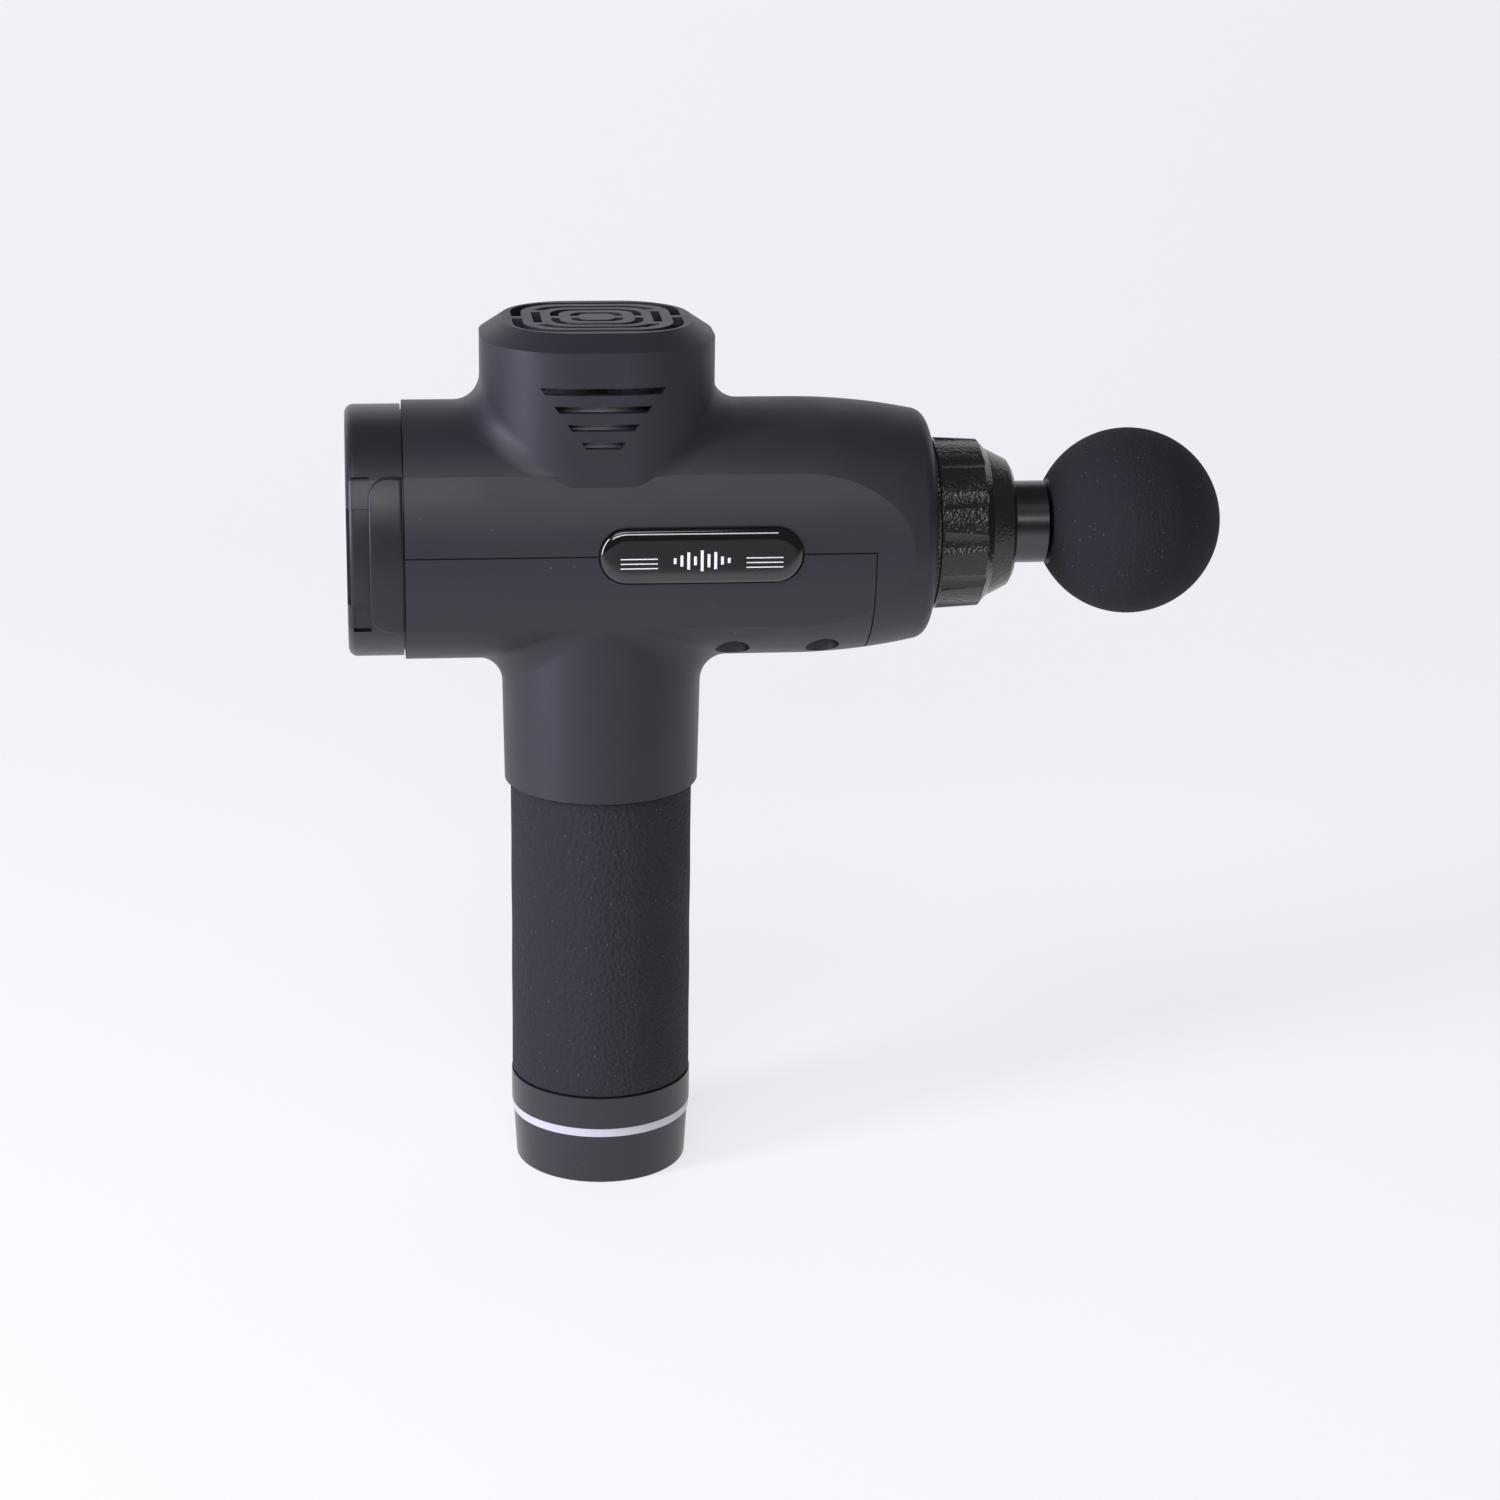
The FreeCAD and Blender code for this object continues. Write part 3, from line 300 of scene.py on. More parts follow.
def add_math(tree, operation, first, second):
    """A Math node whose inputs are sockets or numbers."""
    node = tree.nodes.new("ShaderNodeMath")
    node.operation = operation
    for index, value in enumerate((first, second)):
        if isinstance(value, (int, float)):
            node.inputs[index].default_value = value
        else:
            tree.links.new(value, node.inputs[index])
    return node.outputs[0]


def grain_group():
    """Fine moulded grain: a height for bump and a slow mottle for roughness and colour."""
    sockets = [("Vector", "NodeSocketVector", None), ("Grain scale", "NodeSocketFloat", 2500.0),
               ("Pit share", "NodeSocketFloat", 0.3), ("Mottle scale", "NodeSocketFloat", 40.0)]
    group, inlet, outlet = new_group("Moulded grain", sockets,
                                     [("Height", "NodeSocketFloat"), ("Mottle", "NodeSocketFloat")])
    fine = group.nodes.new("ShaderNodeTexNoise")
    fine.inputs["Detail"].default_value = 3.0
    pits = group.nodes.new("ShaderNodeTexVoronoi")
    mottle = group.nodes.new("ShaderNodeTexNoise")
    mottle.inputs["Detail"].default_value = 5.0
    mottle.inputs["Roughness"].default_value = 0.6
    for node in (fine, pits, mottle):
        group.links.new(inlet.outputs["Vector"], node.inputs["Vector"])
    group.links.new(inlet.outputs["Grain scale"], fine.inputs["Scale"])
    group.links.new(inlet.outputs["Grain scale"], pits.inputs["Scale"])
    group.links.new(inlet.outputs["Mottle scale"], mottle.inputs["Scale"])
    pit_height = add_math(group, "MULTIPLY", pits.outputs["Distance"], inlet.outputs["Pit share"])
    height = add_math(group, "ADD", fine.outputs["Fac"], pit_height)
    group.links.new(height, outlet.inputs["Height"])
    group.links.new(mottle.outputs["Fac"], outlet.inputs["Mottle"])
    return group


def speck_group():
    """Tiny light specks of dust or pores, thrown over the surface: a mask from 0 to 1."""
    sockets = [("Vector", "NodeSocketVector", None), ("Scale", "NodeSocketFloat", 700.0),
               ("Size", "NodeSocketFloat", 0.16), ("Share", "NodeSocketFloat", 0.06)]
    group, inlet, outlet = new_group("Specks", sockets, [("Mask", "NodeSocketFloat")])
    cells = group.nodes.new("ShaderNodeTexVoronoi")
    group.links.new(inlet.outputs["Vector"], cells.inputs["Vector"])
    group.links.new(inlet.outputs["Scale"], cells.inputs["Scale"])
    near = add_math(group, "LESS_THAN", cells.outputs["Distance"], inlet.outputs["Size"])
    split = group.nodes.new("ShaderNodeSeparateColor")
    group.links.new(cells.outputs["Color"], split.inputs[0])
    chosen = add_math(group, "LESS_THAN", split.outputs[0], inlet.outputs["Share"])
    group.links.new(add_math(group, "MULTIPLY", near, chosen), outlet.inputs["Mask"])
    return group


def brushed_group():
    """Fine lines round or along a machined metal part: a height that varies across the lines."""
    sockets = [("Vector", "NodeSocketVector", None), ("Scale", "NodeSocketFloat", 900.0)]
    group, inlet, outlet = new_group("Machined lines", sockets, [("Height", "NodeSocketFloat")])
    stretch = group.nodes.new("ShaderNodeMapping")
    stretch.inputs["Scale"].default_value = (1.0, 0.03, 0.03)
    noise = group.nodes.new("ShaderNodeTexNoise")
    noise.inputs["Detail"].default_value = 2.0
    group.links.new(inlet.outputs["Vector"], stretch.inputs["Vector"])
    group.links.new(stretch.outputs["Vector"], noise.inputs["Vector"])
    group.links.new(inlet.outputs["Scale"], noise.inputs["Scale"])
    group.links.new(noise.outputs["Fac"], outlet.inputs["Height"])
    return group


GROUPS = {}


def shared_group(label, maker):
    """A shader group that is built once and used by many materials."""
    if label not in GROUPS:
        GROUPS[label] = maker()
    return GROUPS[label]


# The noise textures' values lie mostly between these two.
NOISE_LOW = 0.3
NOISE_HIGH = 0.7


# ---- materials ---------------------------------------------------------------------------------
class Finish:
    """A material under construction: its node tree, its shader and its object coordinates."""

    def __init__(self, name, colour, roughness, metallic=0.0):
        self.material = bpy.data.materials.new(name)
        self.material.use_nodes = True
        self.tree = self.material.node_tree
        self.shader = self.tree.nodes["Principled BSDF"]
        self.shader.inputs["Metallic"].default_value = metallic
        self.shader.inputs["Roughness"].default_value = roughness
        self.shader.inputs["Base Color"].default_value = (*colour, 1.0)
        self.material.diffuse_color = (*colour, 1.0)
        self.colour = (*colour, 1.0)
        self.coordinates = self.tree.nodes.new("ShaderNodeTexCoord").outputs["Object"]
        self.heights = []

    def group(self, tree, **values):
        """Places a shader group that reads the object coordinates, with its own values."""
        node = self.tree.nodes.new("ShaderNodeGroup")
        node.node_tree = tree
        self.tree.links.new(self.coordinates, node.inputs["Vector"])
        for label, value in values.items():
            node.inputs[label.replace("_", " ").capitalize()].default_value = value
        return node

    def grain(self, scale, depth, pits=0.3, mottle_scale=40.0):
        """Adds grain to the bump, in metres of height, and returns the mottle."""
        node = self.group(shared_group("grain", grain_group), grain_scale=scale, pit_share=pits,
                          mottle_scale=mottle_scale)
        self.heights.append((node.outputs["Height"], depth))
        return node.outputs["Mottle"]

    def lines(self, scale, depth):
        """Adds machined lines to the bump, in metres of height."""
        node = self.group(shared_group("lines", brushed_group), scale=scale)
        self.heights.append((node.outputs["Height"], depth))

    def vary_roughness(self, mask, low, high):
        """Lets the roughness wander between two values with a noise mask."""
        spread = self.tree.nodes.new("ShaderNodeMapRange")
        spread.inputs["From Min"].default_value = NOISE_LOW
        spread.inputs["From Max"].default_value = NOISE_HIGH
        spread.inputs["To Min"].default_value = low
        spread.inputs["To Max"].default_value = high
        self.tree.links.new(mask, spread.inputs["Value"])
        self.tree.links.new(spread.outputs["Result"], self.shader.inputs["Roughness"])

    def mix_colour(self, mask, colour, strength=1.0):
        """Lays another colour over the base where the mask is high."""
        mix = self.tree.nodes.new("ShaderNodeMix")
        mix.data_type = "RGBA"
        mix.inputs["B"].default_value = (*colour, 1.0)
        base = self.shader.inputs["Base Color"]
        if base.is_linked:
            self.tree.links.new(base.links[0].from_socket, mix.inputs["A"])
        else:
            mix.inputs["A"].default_value = self.colour
        self.tree.links.new(add_math(self.tree, "MULTIPLY", mask, strength), mix.inputs["Factor"])
        self.tree.links.new(mix.outputs["Result"], base)

    def specks(self, colour, **values):
        """Lays tiny light specks over the colour."""
        node = self.group(shared_group("specks", speck_group), **values)
        self.mix_colour(node.outputs["Mask"], colour)

    def done(self, **sockets):
        """Chains one Bump node for each height and sets the shader's plain sockets."""
        for label, value in sockets.items():
            self.shader.inputs[label.replace("_", " ")].default_value = value
        normal = None
        for height, depth in self.heights:
            bump = self.tree.nodes.new("ShaderNodeBump")
            bump.inputs["Distance"].default_value = depth
            bump.inputs["Strength"].default_value = 1.0
            self.tree.links.new(height, bump.inputs["Height"])
            if normal:
                self.tree.links.new(normal, bump.inputs["Normal"])
            normal = bump.outputs["Normal"]
        if normal:
            self.tree.links.new(normal, self.shader.inputs["Normal"])
        return self.material


def shaded(colour, factor):
    """The colour made darker by a factor under one, or lighter by one over it."""
    return tuple(min(1.0, channel * factor) for channel in colour)


def plastic(name, colour, roughness, grain_depth=0.00001, grain_scale=2500.0, spread=0.08):
    """Moulded plastic: fine grain, slow mottle in colour and roughness."""
    finish = Finish(name, colour, roughness)
    mottle = finish.grain(grain_scale, grain_depth)
    finish.vary_roughness(mottle, roughness - spread, roughness + spread)
    finish.mix_colour(mottle, shaded(colour, 1.35), 0.6)
    return finish.done()


def metal(name, colour, roughness, line_depth=0.000004):
    """Machined or cast metal: fine lines, slow mottle in roughness."""
    finish = Finish(name, colour, roughness, metallic=1.0)
    finish.lines(900.0, line_depth)
    mottle = finish.grain(3000.0, line_depth / 2)
    finish.vary_roughness(mottle, roughness - 0.06, roughness + 0.1)
    finish.mix_colour(mottle, shaded(colour, 0.8), 0.5)
    return finish.done()


def soft_foam(name, colour, grain_scale, grain_depth, roughness=0.92):
    """Closed-cell foam or soft rubber with a leathery skin and tiny light specks."""
    finish = Finish(name, colour, roughness)
    mottle = finish.grain(grain_scale, grain_depth, pits=0.8, mottle_scale=60.0)
    finish.vary_roughness(mottle, roughness - 0.08, roughness + 0.06)
    finish.mix_colour(mottle, shaded(colour, 1.7), 0.5)
    finish.specks((0.11, 0.11, 0.12), scale=900.0, size=0.15, share=0.12)
    return finish.done(Specular_IOR_Level=0.22)


def gloss(name, colour):
    """Clear-coated gloss black with very faint smudges."""
    finish = Finish(name, colour, 0.06)
    mottle = finish.grain(60.0, 0.0, mottle_scale=55.0)
    finish.vary_roughness(mottle, 0.03, 0.1)
    return finish.done(Coat_Weight=1.0, Coat_Roughness=0.03)


def diffuser(name, colour):
    """Milky plastic that lets light into it."""
    finish = Finish(name, colour, 0.32)
    mottle = finish.grain(2200.0, 0.000004, mottle_scale=80.0)
    finish.mix_colour(mottle, shaded(colour, 0.9), 0.6)
    return finish.done(Subsurface_Weight=0.25, Subsurface_Scale=0.004)


def shell_finish(name, colour, roughness):
    """Soft-touch casing: satin black with a faint sheen, fine grain and slow hand marks."""
    finish = Finish(name, colour, roughness)
    mottle = finish.grain(2600.0, 0.000012, pits=0.4, mottle_scale=26.0)
    finish.vary_roughness(mottle, roughness - 0.05, roughness + 0.07)
    finish.mix_colour(mottle, shaded(colour, 1.3), 0.5)
    finish.specks((0.09, 0.09, 0.1), scale=330.0, size=0.07, share=0.035)
    return finish.done(Specular_IOR_Level=0.42)


def slot_materials(finish):
    """One material for each of the record's slots."""
    shell = tuple(finish.shell_colour)
    foam = tuple(finish.foam_colour)
    return {
        "satin_black_shell": shell_finish("casing_soft_touch", shell, finish.shell_roughness),
        "gloss_black_shell": shell_finish("rear_cap_satin", shaded(shell, 0.75), 0.36),
        "lens_black": gloss("display_gloss", (0.0015, 0.0015, 0.002)),
        "button_black": plastic("button_satin", (0.03, 0.029, 0.034), 0.4),
        "board_green": plastic("circuit_board", (0.01, 0.09, 0.03), 0.35, 0.000006, 1200.0),
        "steel": metal("bright_steel", (0.62, 0.62, 0.64), 0.28),
        "switch_grey": plastic("switch_housing", (0.18, 0.18, 0.19), 0.45),
        "cast_aluminium": metal("cast_alloy", (0.66, 0.66, 0.68), 0.42, 0.00001),
        "anodised_black": metal("black_anodised", (0.085, 0.083, 0.088), 0.27),
        "damper_rubber": plastic("damper_rubber", (0.016, 0.016, 0.016), 0.75, 0.00002, 1800.0),
        "motor_silver": metal("motor_nickel", (0.8, 0.8, 0.82), 0.42),
        "stator_iron": metal("stator_laminations", (0.22, 0.19, 0.17), 0.5, 0.00002),
        "crank_steel": metal("hardened_steel", (0.5, 0.5, 0.52), 0.3),
        "bush_bronze": metal("sintered_bronze", (0.55, 0.36, 0.17), 0.45),
        "fan_plastic": plastic("fan_nylon", (0.02, 0.02, 0.021), 0.5),
        "collar_black": plastic("collar_moulded", (0.013, 0.0128, 0.0145), 0.16, 0.0002, 1100.0,
                                0.04),
        "stem_plastic": plastic("stem_nylon", (0.018, 0.018, 0.019), 0.5),
        "foam_black": soft_foam("ball_foam", foam, 1300.0, 0.00022),
        "cell_sleeve": plastic("cell_shrink_sleeve", (0.03, 0.17, 0.3), 0.3, 0.000004),
        "holder_plastic": plastic("holder_nylon", (0.04, 0.04, 0.04), 0.5),
        "grip_black": soft_foam("grip_leather_grain", shaded(foam, 1.25), 850.0, 0.0004, 0.78),
        "base_black": plastic("base_satin", (0.019, 0.0175, 0.0235), 0.32, 0.000006),
        "light_white": diffuser("light_diffuser", tuple(finish.light_colour)),
        "jack_plastic": plastic("jack_housing", (0.02, 0.02, 0.02), 0.45),
        "jack_metal": metal("jack_contact", (0.7, 0.68, 0.6), 0.25),
    }


MATERIALS = {}


def dress(piece, material):
    """Gives a piece one material."""
    piece.data.materials.clear()
    piece.data.materials.append(material)


# ---- operators ---------------------------------------------------------------------------------
class GUN_OT_finish_cad(Operator):
    """Give every part of the frame the finish of its slot"""

    bl_idname = "gun.finish_cad"
    bl_label = "Finish the frame's parts"

    def execute(self, context):
        MATERIALS.update(slot_materials(context.scene.gun_finish))
        for entry in frame["record"]["subparts"]:
            part = frame["nodes"][entry["node"]]
            material = MATERIALS[entry["material_slot"]]
            for index in range(len(part.material_slots)):
                part.material_slots[index].material = material
        return {"FINISHED"}


MOUTH_ROUND = 0.8 * MM
MOUTH_LIP = 0.9 * MM
MOUTH_DEPTH = 0.35 * MM
BALL_ANGLE = 50.0


class GUN_OT_foam_ball(Operator):
    """Model the foam ball: a sphere with a flat, rounded mouth at its stem"""

    bl_idname = "gun.foam_ball"
    bl_label = "Foam ball"

    def execute(self, context):
        low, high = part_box("foam_ball")
        radius = (high.z - low.z) / 2
        centre = Vector((high.x - radius, 0, barrel_axis()))
        segments = context.scene.gun_shape.ball_segments
        clear_selection()
        bpy.ops.mesh.primitive_uv_sphere_add(segments=segments, ring_count=segments // 2,
                                             radius=radius, location=centre,
                                             rotation=(0, math.pi / 2, 0))
        ball = name_piece("foam_ball_skin")
        bpy.ops.object.transform_apply(location=True, rotation=True, scale=True)
        bpy.ops.object.mode_set(mode="EDIT")
        bpy.ops.mesh.select_all(action="SELECT")
        bpy.ops.mesh.bisect(plane_co=(low.x, 0, centre.z), plane_no=(-1, 0, 0), use_fill=True,
                            clear_outer=True)
        bpy.ops.mesh.bevel(offset=MOUTH_ROUND, segments=4, affect="EDGES")
        bpy.ops.mesh.select_all(action="DESELECT")
        bpy.ops.object.mode_set(mode="OBJECT")
        for face in ball.data.polygons:
            face.select = face.center.x < low.x + 1e-6 and face.normal.x < -0.99
        bpy.ops.object.mode_set(mode="EDIT")
        bpy.ops.mesh.inset(thickness=MOUTH_LIP, depth=-MOUTH_DEPTH)
        bpy.ops.object.mode_set(mode="OBJECT")
        settle(ball, BALL_ANGLE)
        dress(ball, MATERIALS["foam_black"])
        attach(ball, "ball_head")
        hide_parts("foam_ball")
        return {"FINISHED"}


SLEEVE_DIP = 0.12 * MM
SLEEVE_ROWS = 24
SLEEVE_SEGMENTS = 144
ROLL_STEPS = 4


def sleeve_profile(inner, outer, low, high, bend):
    """The sleeve's wall as (radius, height) points, with rolled ends and three shallow waves."""
    core = outer - bend
    height = high - low - 2 * bend
    profile = [(inner, low), (core, low)]
    for index in range(1, ROLL_STEPS + 1):
        angle = math.pi / 2 * index / ROLL_STEPS
        profile.append((core + bend * math.sin(angle), low + bend - bend * math.cos(angle)))
    for index in range(1, SLEEVE_ROWS):
        share = index / SLEEVE_ROWS
        dip = SLEEVE_DIP * math.sin(math.pi * share) * math.sin(3 * math.pi * share) ** 2
        profile.append((outer - dip, low + bend + height * share))
    for index in range(ROLL_STEPS + 1):
        angle = math.pi / 2 * index / ROLL_STEPS
        profile.append((core + bend * math.cos(angle), high - bend + bend * math.sin(angle)))
    profile.append((inner, high))
    return profile


class GUN_OT_grip_sleeve(Operator):
    """Model the grip sleeve: a soft tube with rolled ends and faint waves along it"""

    bl_idname = "gun.grip_sleeve"
    bl_label = "Grip sleeve"

    def execute(self, context):
        low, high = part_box("grip_sleeve")
        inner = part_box("handle_tube")[1].x
        profile = sleeve_profile(inner, high.x, low.z, high.z, context.scene.gun_shape.sleeve_round)
        sleeve = turned("grip_sleeve_skin", profile, (0, 0, 0), "Z", SLEEVE_SEGMENTS)
        dress(sleeve, MATERIALS["grip_black"])
        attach(sleeve, "housing")
        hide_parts("grip_sleeve")
        return {"FINISHED"}


BADGE_SEGMENTS = 96
DOME_STEPS = 7
DOME_REACH = 0.62
DOME_RISE_POWER = 2.6
DOME_RUN_POWER = 1.5
PLATE_ANGLE = 40.0
PRINT_ANGLE = 30.0


def badge_plate(name, shape):
    """The left badge: a round-ended plate that rises in steps to a shallow dome."""
    low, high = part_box("left_badge")
    centre = (low + high) / 2
    half_height = (high.z - low.z) / 2
    half_run = (high.x - low.x) / 2 - half_height
    edge = high.y - shape.print_height - shape.badge_dome
    clear_selection()
    bpy.ops.mesh.primitive_circle_add(vertices=BADGE_SEGMENTS, radius=half_height, fill_type="NGON",
                                      location=(0, 0, low.y))
    plate = name_piece(name)
    bpy.ops.object.transform_apply(location=True, rotation=True, scale=True)
    for vertex in plate.data.vertices:
        vertex.co.x += half_run if vertex.co.x > 0 else -half_run
    bpy.ops.object.mode_set(mode="EDIT")
    bpy.ops.mesh.select_all(action="SELECT")
    bpy.ops.mesh.extrude_region_move(TRANSFORM_OT_translate={"value": (0, 0, edge - low.y)})
    reach = half_height * DOME_REACH
    for index in range(DOME_STEPS):
        here = index / DOME_STEPS
        there = (index + 1) / DOME_STEPS
        rise = (1 - here) ** DOME_RISE_POWER - (1 - there) ** DOME_RISE_POWER
        run = there ** DOME_RUN_POWER - here ** DOME_RUN_POWER
        bpy.ops.mesh.inset(thickness=reach * run, depth=shape.badge_dome * rise)
    bpy.ops.object.mode_set(mode="OBJECT")
    plate.rotation_euler = (-math.pi / 2, 0, 0)
    plate.location = (centre.x, 0, centre.z)
    return settle(plate, PLATE_ANGLE)


PRINT_DEPTH = 0.35 * MM
STRIPE_LENGTH = 9.6 * MM
STRIPE_WIDTH = 0.28 * MM
STRIPE_OFFSET = 16.3 * MM
STRIPE_DROP = 0.4 * MM
STRIPE_PITCH = 1.25 * MM
BAR_HEIGHTS = [height * MM for height in (1.6, 3.0, 4.6, 2.4, 5.6, 3.6, 4.6, 2.2, 1.4)]
BAR_WIDTH = 0.8 * MM
BAR_EDGE = 0.1 * MM
BAR_DROP = 1.0 * MM
BAR_PITCH = 1.75 * MM


def badge_print(name):
    """The left badge's print: pinstripes at both ends and a row of level bars in the middle."""
    centre = middle("left_badge")
    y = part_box("left_badge")[1].y - PRINT_DEPTH / 2
    first = centre + Vector((-STRIPE_OFFSET, 0, -STRIPE_DROP))
    stripe = block("stripe", (STRIPE_LENGTH, PRINT_DEPTH, STRIPE_WIDTH), (first.x, y, first.z))
    marks = [stripe]
    for end in (0, 1):
        for row in range(3):
            if end or row:
                copy = copied(stripe, "stripe")
                copy.location = (end * 2 * STRIPE_OFFSET, 0, -row * STRIPE_PITCH)
                marks.append(copy)
    for index, height in enumerate(BAR_HEIGHTS):
        x = centre.x + (index - (len(BAR_HEIGHTS) - 1) / 2) * BAR_PITCH
        place = (x, y, centre.z - BAR_DROP)
        marks.append(block("bar", (BAR_WIDTH, PRINT_DEPTH, height), place, BAR_EDGE))
    return settle(joined(name, marks), PRINT_ANGLE)


class GUN_OT_badges(Operator):
    """Model the domed badge on each side, with its plain stripes and bars"""

    bl_idname = "gun.badges"
    bl_label = "Side badges"

    def execute(self, context):
        print_colour = tuple(context.scene.gun_finish.print_colour)
        ink = plastic("badge_print", print_colour, 0.35, 0.000002)
        plate = badge_plate("left_badge_dome", context.scene.gun_shape)
        marks = badge_print("left_badge_print")
        sides = (("left_badge", plate, marks),
                 ("right_badge", mirrored(plate, "right_badge_dome", PLATE_ANGLE),
                  mirrored(marks, "right_badge_print", PRINT_ANGLE)))
        for node, dome, bars in sides:
            dress(dome, MATERIALS["lens_black"])
            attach(dome, "housing")
            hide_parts(node)
            dress(bars, ink)
            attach(bars, "housing")
        return {"FINISHED"}


PAD_ANGLE = 50.0
PAD_DEPTH = 1.0 * MM
PAD_ROWS = 20
# The pad's bevel as (inwards, upwards) steps from its edge to its face.
PAD_BEVEL = ((0.15 * MM, 0.25 * MM), (0.3 * MM, 0.13 * MM), (0.45 * MM, 0.04 * MM))


def side_pad(name, shape):
    """The left pad: a rounded plate that follows the cap's side and ends in a soft bevel."""
    run = shape.pad_length
    rise = shape.pad_height
    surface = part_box("rear_cap")[1].y
    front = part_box("upper_housing")[0].x - shape.pad_seam
    clear_selection()
    bpy.ops.mesh.primitive_plane_add(size=1, location=(0, 0, 0))
    pad = name_piece(name)
    pad.scale = (run, rise, 1)
    bpy.ops.object.transform_apply(location=True, rotation=True, scale=True)
    bpy.ops.object.mode_set(mode="EDIT")
    bpy.ops.mesh.select_mode(type="VERT")
    bpy.ops.mesh.select_all(action="DESELECT")
    bpy.ops.object.mode_set(mode="OBJECT")
    for vertex in pad.data.vertices:
        vertex.select = vertex.co.x < 0
    bpy.ops.object.mode_set(mode="EDIT")
    bpy.ops.mesh.bevel(offset=shape.pad_corner, segments=10, affect="VERTICES")
    bpy.ops.mesh.select_all(action="SELECT")
    bpy.ops.mesh.extrude_region_move(TRANSFORM_OT_translate={"value": (0, 0, PAD_DEPTH)})
    for inwards, upwards in PAD_BEVEL:
        bpy.ops.mesh.inset(thickness=inwards, depth=upwards)
    for row in range(1, PAD_ROWS):
        cut = rise * (row / PAD_ROWS - 0.5)
        bpy.ops.mesh.select_all(action="SELECT")
        bpy.ops.mesh.bisect(plane_co=(0, cut, 0), plane_no=(0, 1, 0))
    bpy.ops.object.mode_set(mode="OBJECT")
    pad.rotation_euler = (-math.pi / 2, 0, 0)
    pad.location = (front - run / 2, surface - PAD_DEPTH, barrel_axis())
    select_only(pad)
    bpy.ops.object.transform_apply(location=True, rotation=True, scale=True)
    arc = shape.side_arc
    for vertex in pad.data.vertices:
        height = vertex.co.z - barrel_axis()
        vertex.co.y -= arc - math.sqrt(arc ** 2 - height ** 2)
    return settle(pad, PAD_ANGLE)


class GUN_OT_side_pads(Operator):
    """Model the soft-edged pad on each side of the rear cap"""

    bl_idname = "gun.side_pads"
    bl_label = "Side pads"

    def execute(self, context):
        left = side_pad("left_side_pad", context.scene.gun_shape)
        right = mirrored(left, "right_side_pad", PAD_ANGLE)
        for pad in (left, right):
            dress(pad, MATERIALS["gloss_black_shell"])
            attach(pad, "housing")
        return {"FINISHED"}


BAND_ANGLE = 20.0
BAND_SETBACK = 0.05 * MM
BAND_LENGTH = 1.2 * MM
BAND_WALL = 1.3 * MM
BAND_EDGE = 0.3 * MM
CREST_DROP = 0.15 * MM
TOOTH_DEPTH = 0.28 * MM


class GUN_OT_collar_knurl(Operator):
    """Model the finely toothed band at the rear of the nose collar"""

    bl_idname = "gun.collar_knurl"
    bl_label = "Collar knurl"

    def execute(self, context):
        shape = context.scene.gun_shape
        low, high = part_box("nose_collar")
        outer = (high.z - low.z) / 2
        inner = outer - BAND_WALL
        crest = outer - CREST_DROP
        profile = [(inner, 0), (crest - BAND_EDGE, 0), (crest, BAND_EDGE),
                   (crest, BAND_LENGTH - BAND_EDGE), (crest - BAND_EDGE, BAND_LENGTH),
                   (inner, BAND_LENGTH)]
        place = (low.x + BAND_SETBACK, 0, barrel_axis())
        band = turned("collar_knurl_band", profile, place, "X", 2 * shape.knurl_teeth)
        centre = Vector(place)
        step = math.pi / shape.knurl_teeth
        for vertex in band.data.vertices:
            arm = vertex.co - centre
            radius = math.hypot(arm.y, arm.z)
            turn = round(math.atan2(arm.z, arm.y) / step)
            if radius > crest - 2 * BAND_EDGE and turn % 2:
                ratio = (radius - TOOTH_DEPTH) / radius
                vertex.co.y = centre.y + arm.y * ratio
                vertex.co.z = centre.z + arm.z * ratio
        settle(band, BAND_ANGLE)
        dress(band, MATERIALS["collar_black"])
        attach(band, "collar")
        return {"FINISHED"}


MARK_DEPTH = 0.2 * MM
MARK_ARM = 3.4 * MM
MARK_STROKE = 0.7 * MM
RING_INNER = 2.2 * MM
RING_OUTER = 2.8 * MM
RING_SEGMENTS = 64
STEM_LENGTH = 2.6 * MM
STEM_RISE = 1.6 * MM
LIGHT_COUNT = 5
LIGHT_CIRCLE = 15.5 * MM
LIGHT_STEP = math.radians(24)
LIGHT_RADIUS = 0.9 * MM
LIGHT_EDGE = 0.15 * MM
LIGHT_CORE = 0.01 * MM
LIGHT_PROUD = 0.02 * MM
LIGHT_SEGMENTS = 24


def button_mark(node, bars, proud):
    """The bars of a plus or minus sign, each (width, height), on a rear button."""
    place = Vector((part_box(node)[0].x + MARK_DEPTH / 2 - proud, 0, middle(node).z))
    pieces = [block("mark", (MARK_DEPTH, wide, tall), place) for wide, tall in bars]
    return settle(joined(node + "_mark", pieces))


def power_mark(node, proud):
    """A ring with an upright stroke at its top, on the large rear button."""
    place = Vector((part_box(node)[0].x - proud, 0, middle(node).z))
    profile = [(RING_INNER, 0), (RING_OUTER, 0), (RING_OUTER, MARK_DEPTH), (RING_INNER, MARK_DEPTH)]
    ring = turned("power_ring", profile, place, "X", RING_SEGMENTS)
    stem = block("power_stem", (MARK_DEPTH, MARK_STROKE, STEM_LENGTH),
                 place + Vector((MARK_DEPTH / 2, 0, STEM_RISE)))
    return settle(joined(node + "_mark", [ring, stem]))


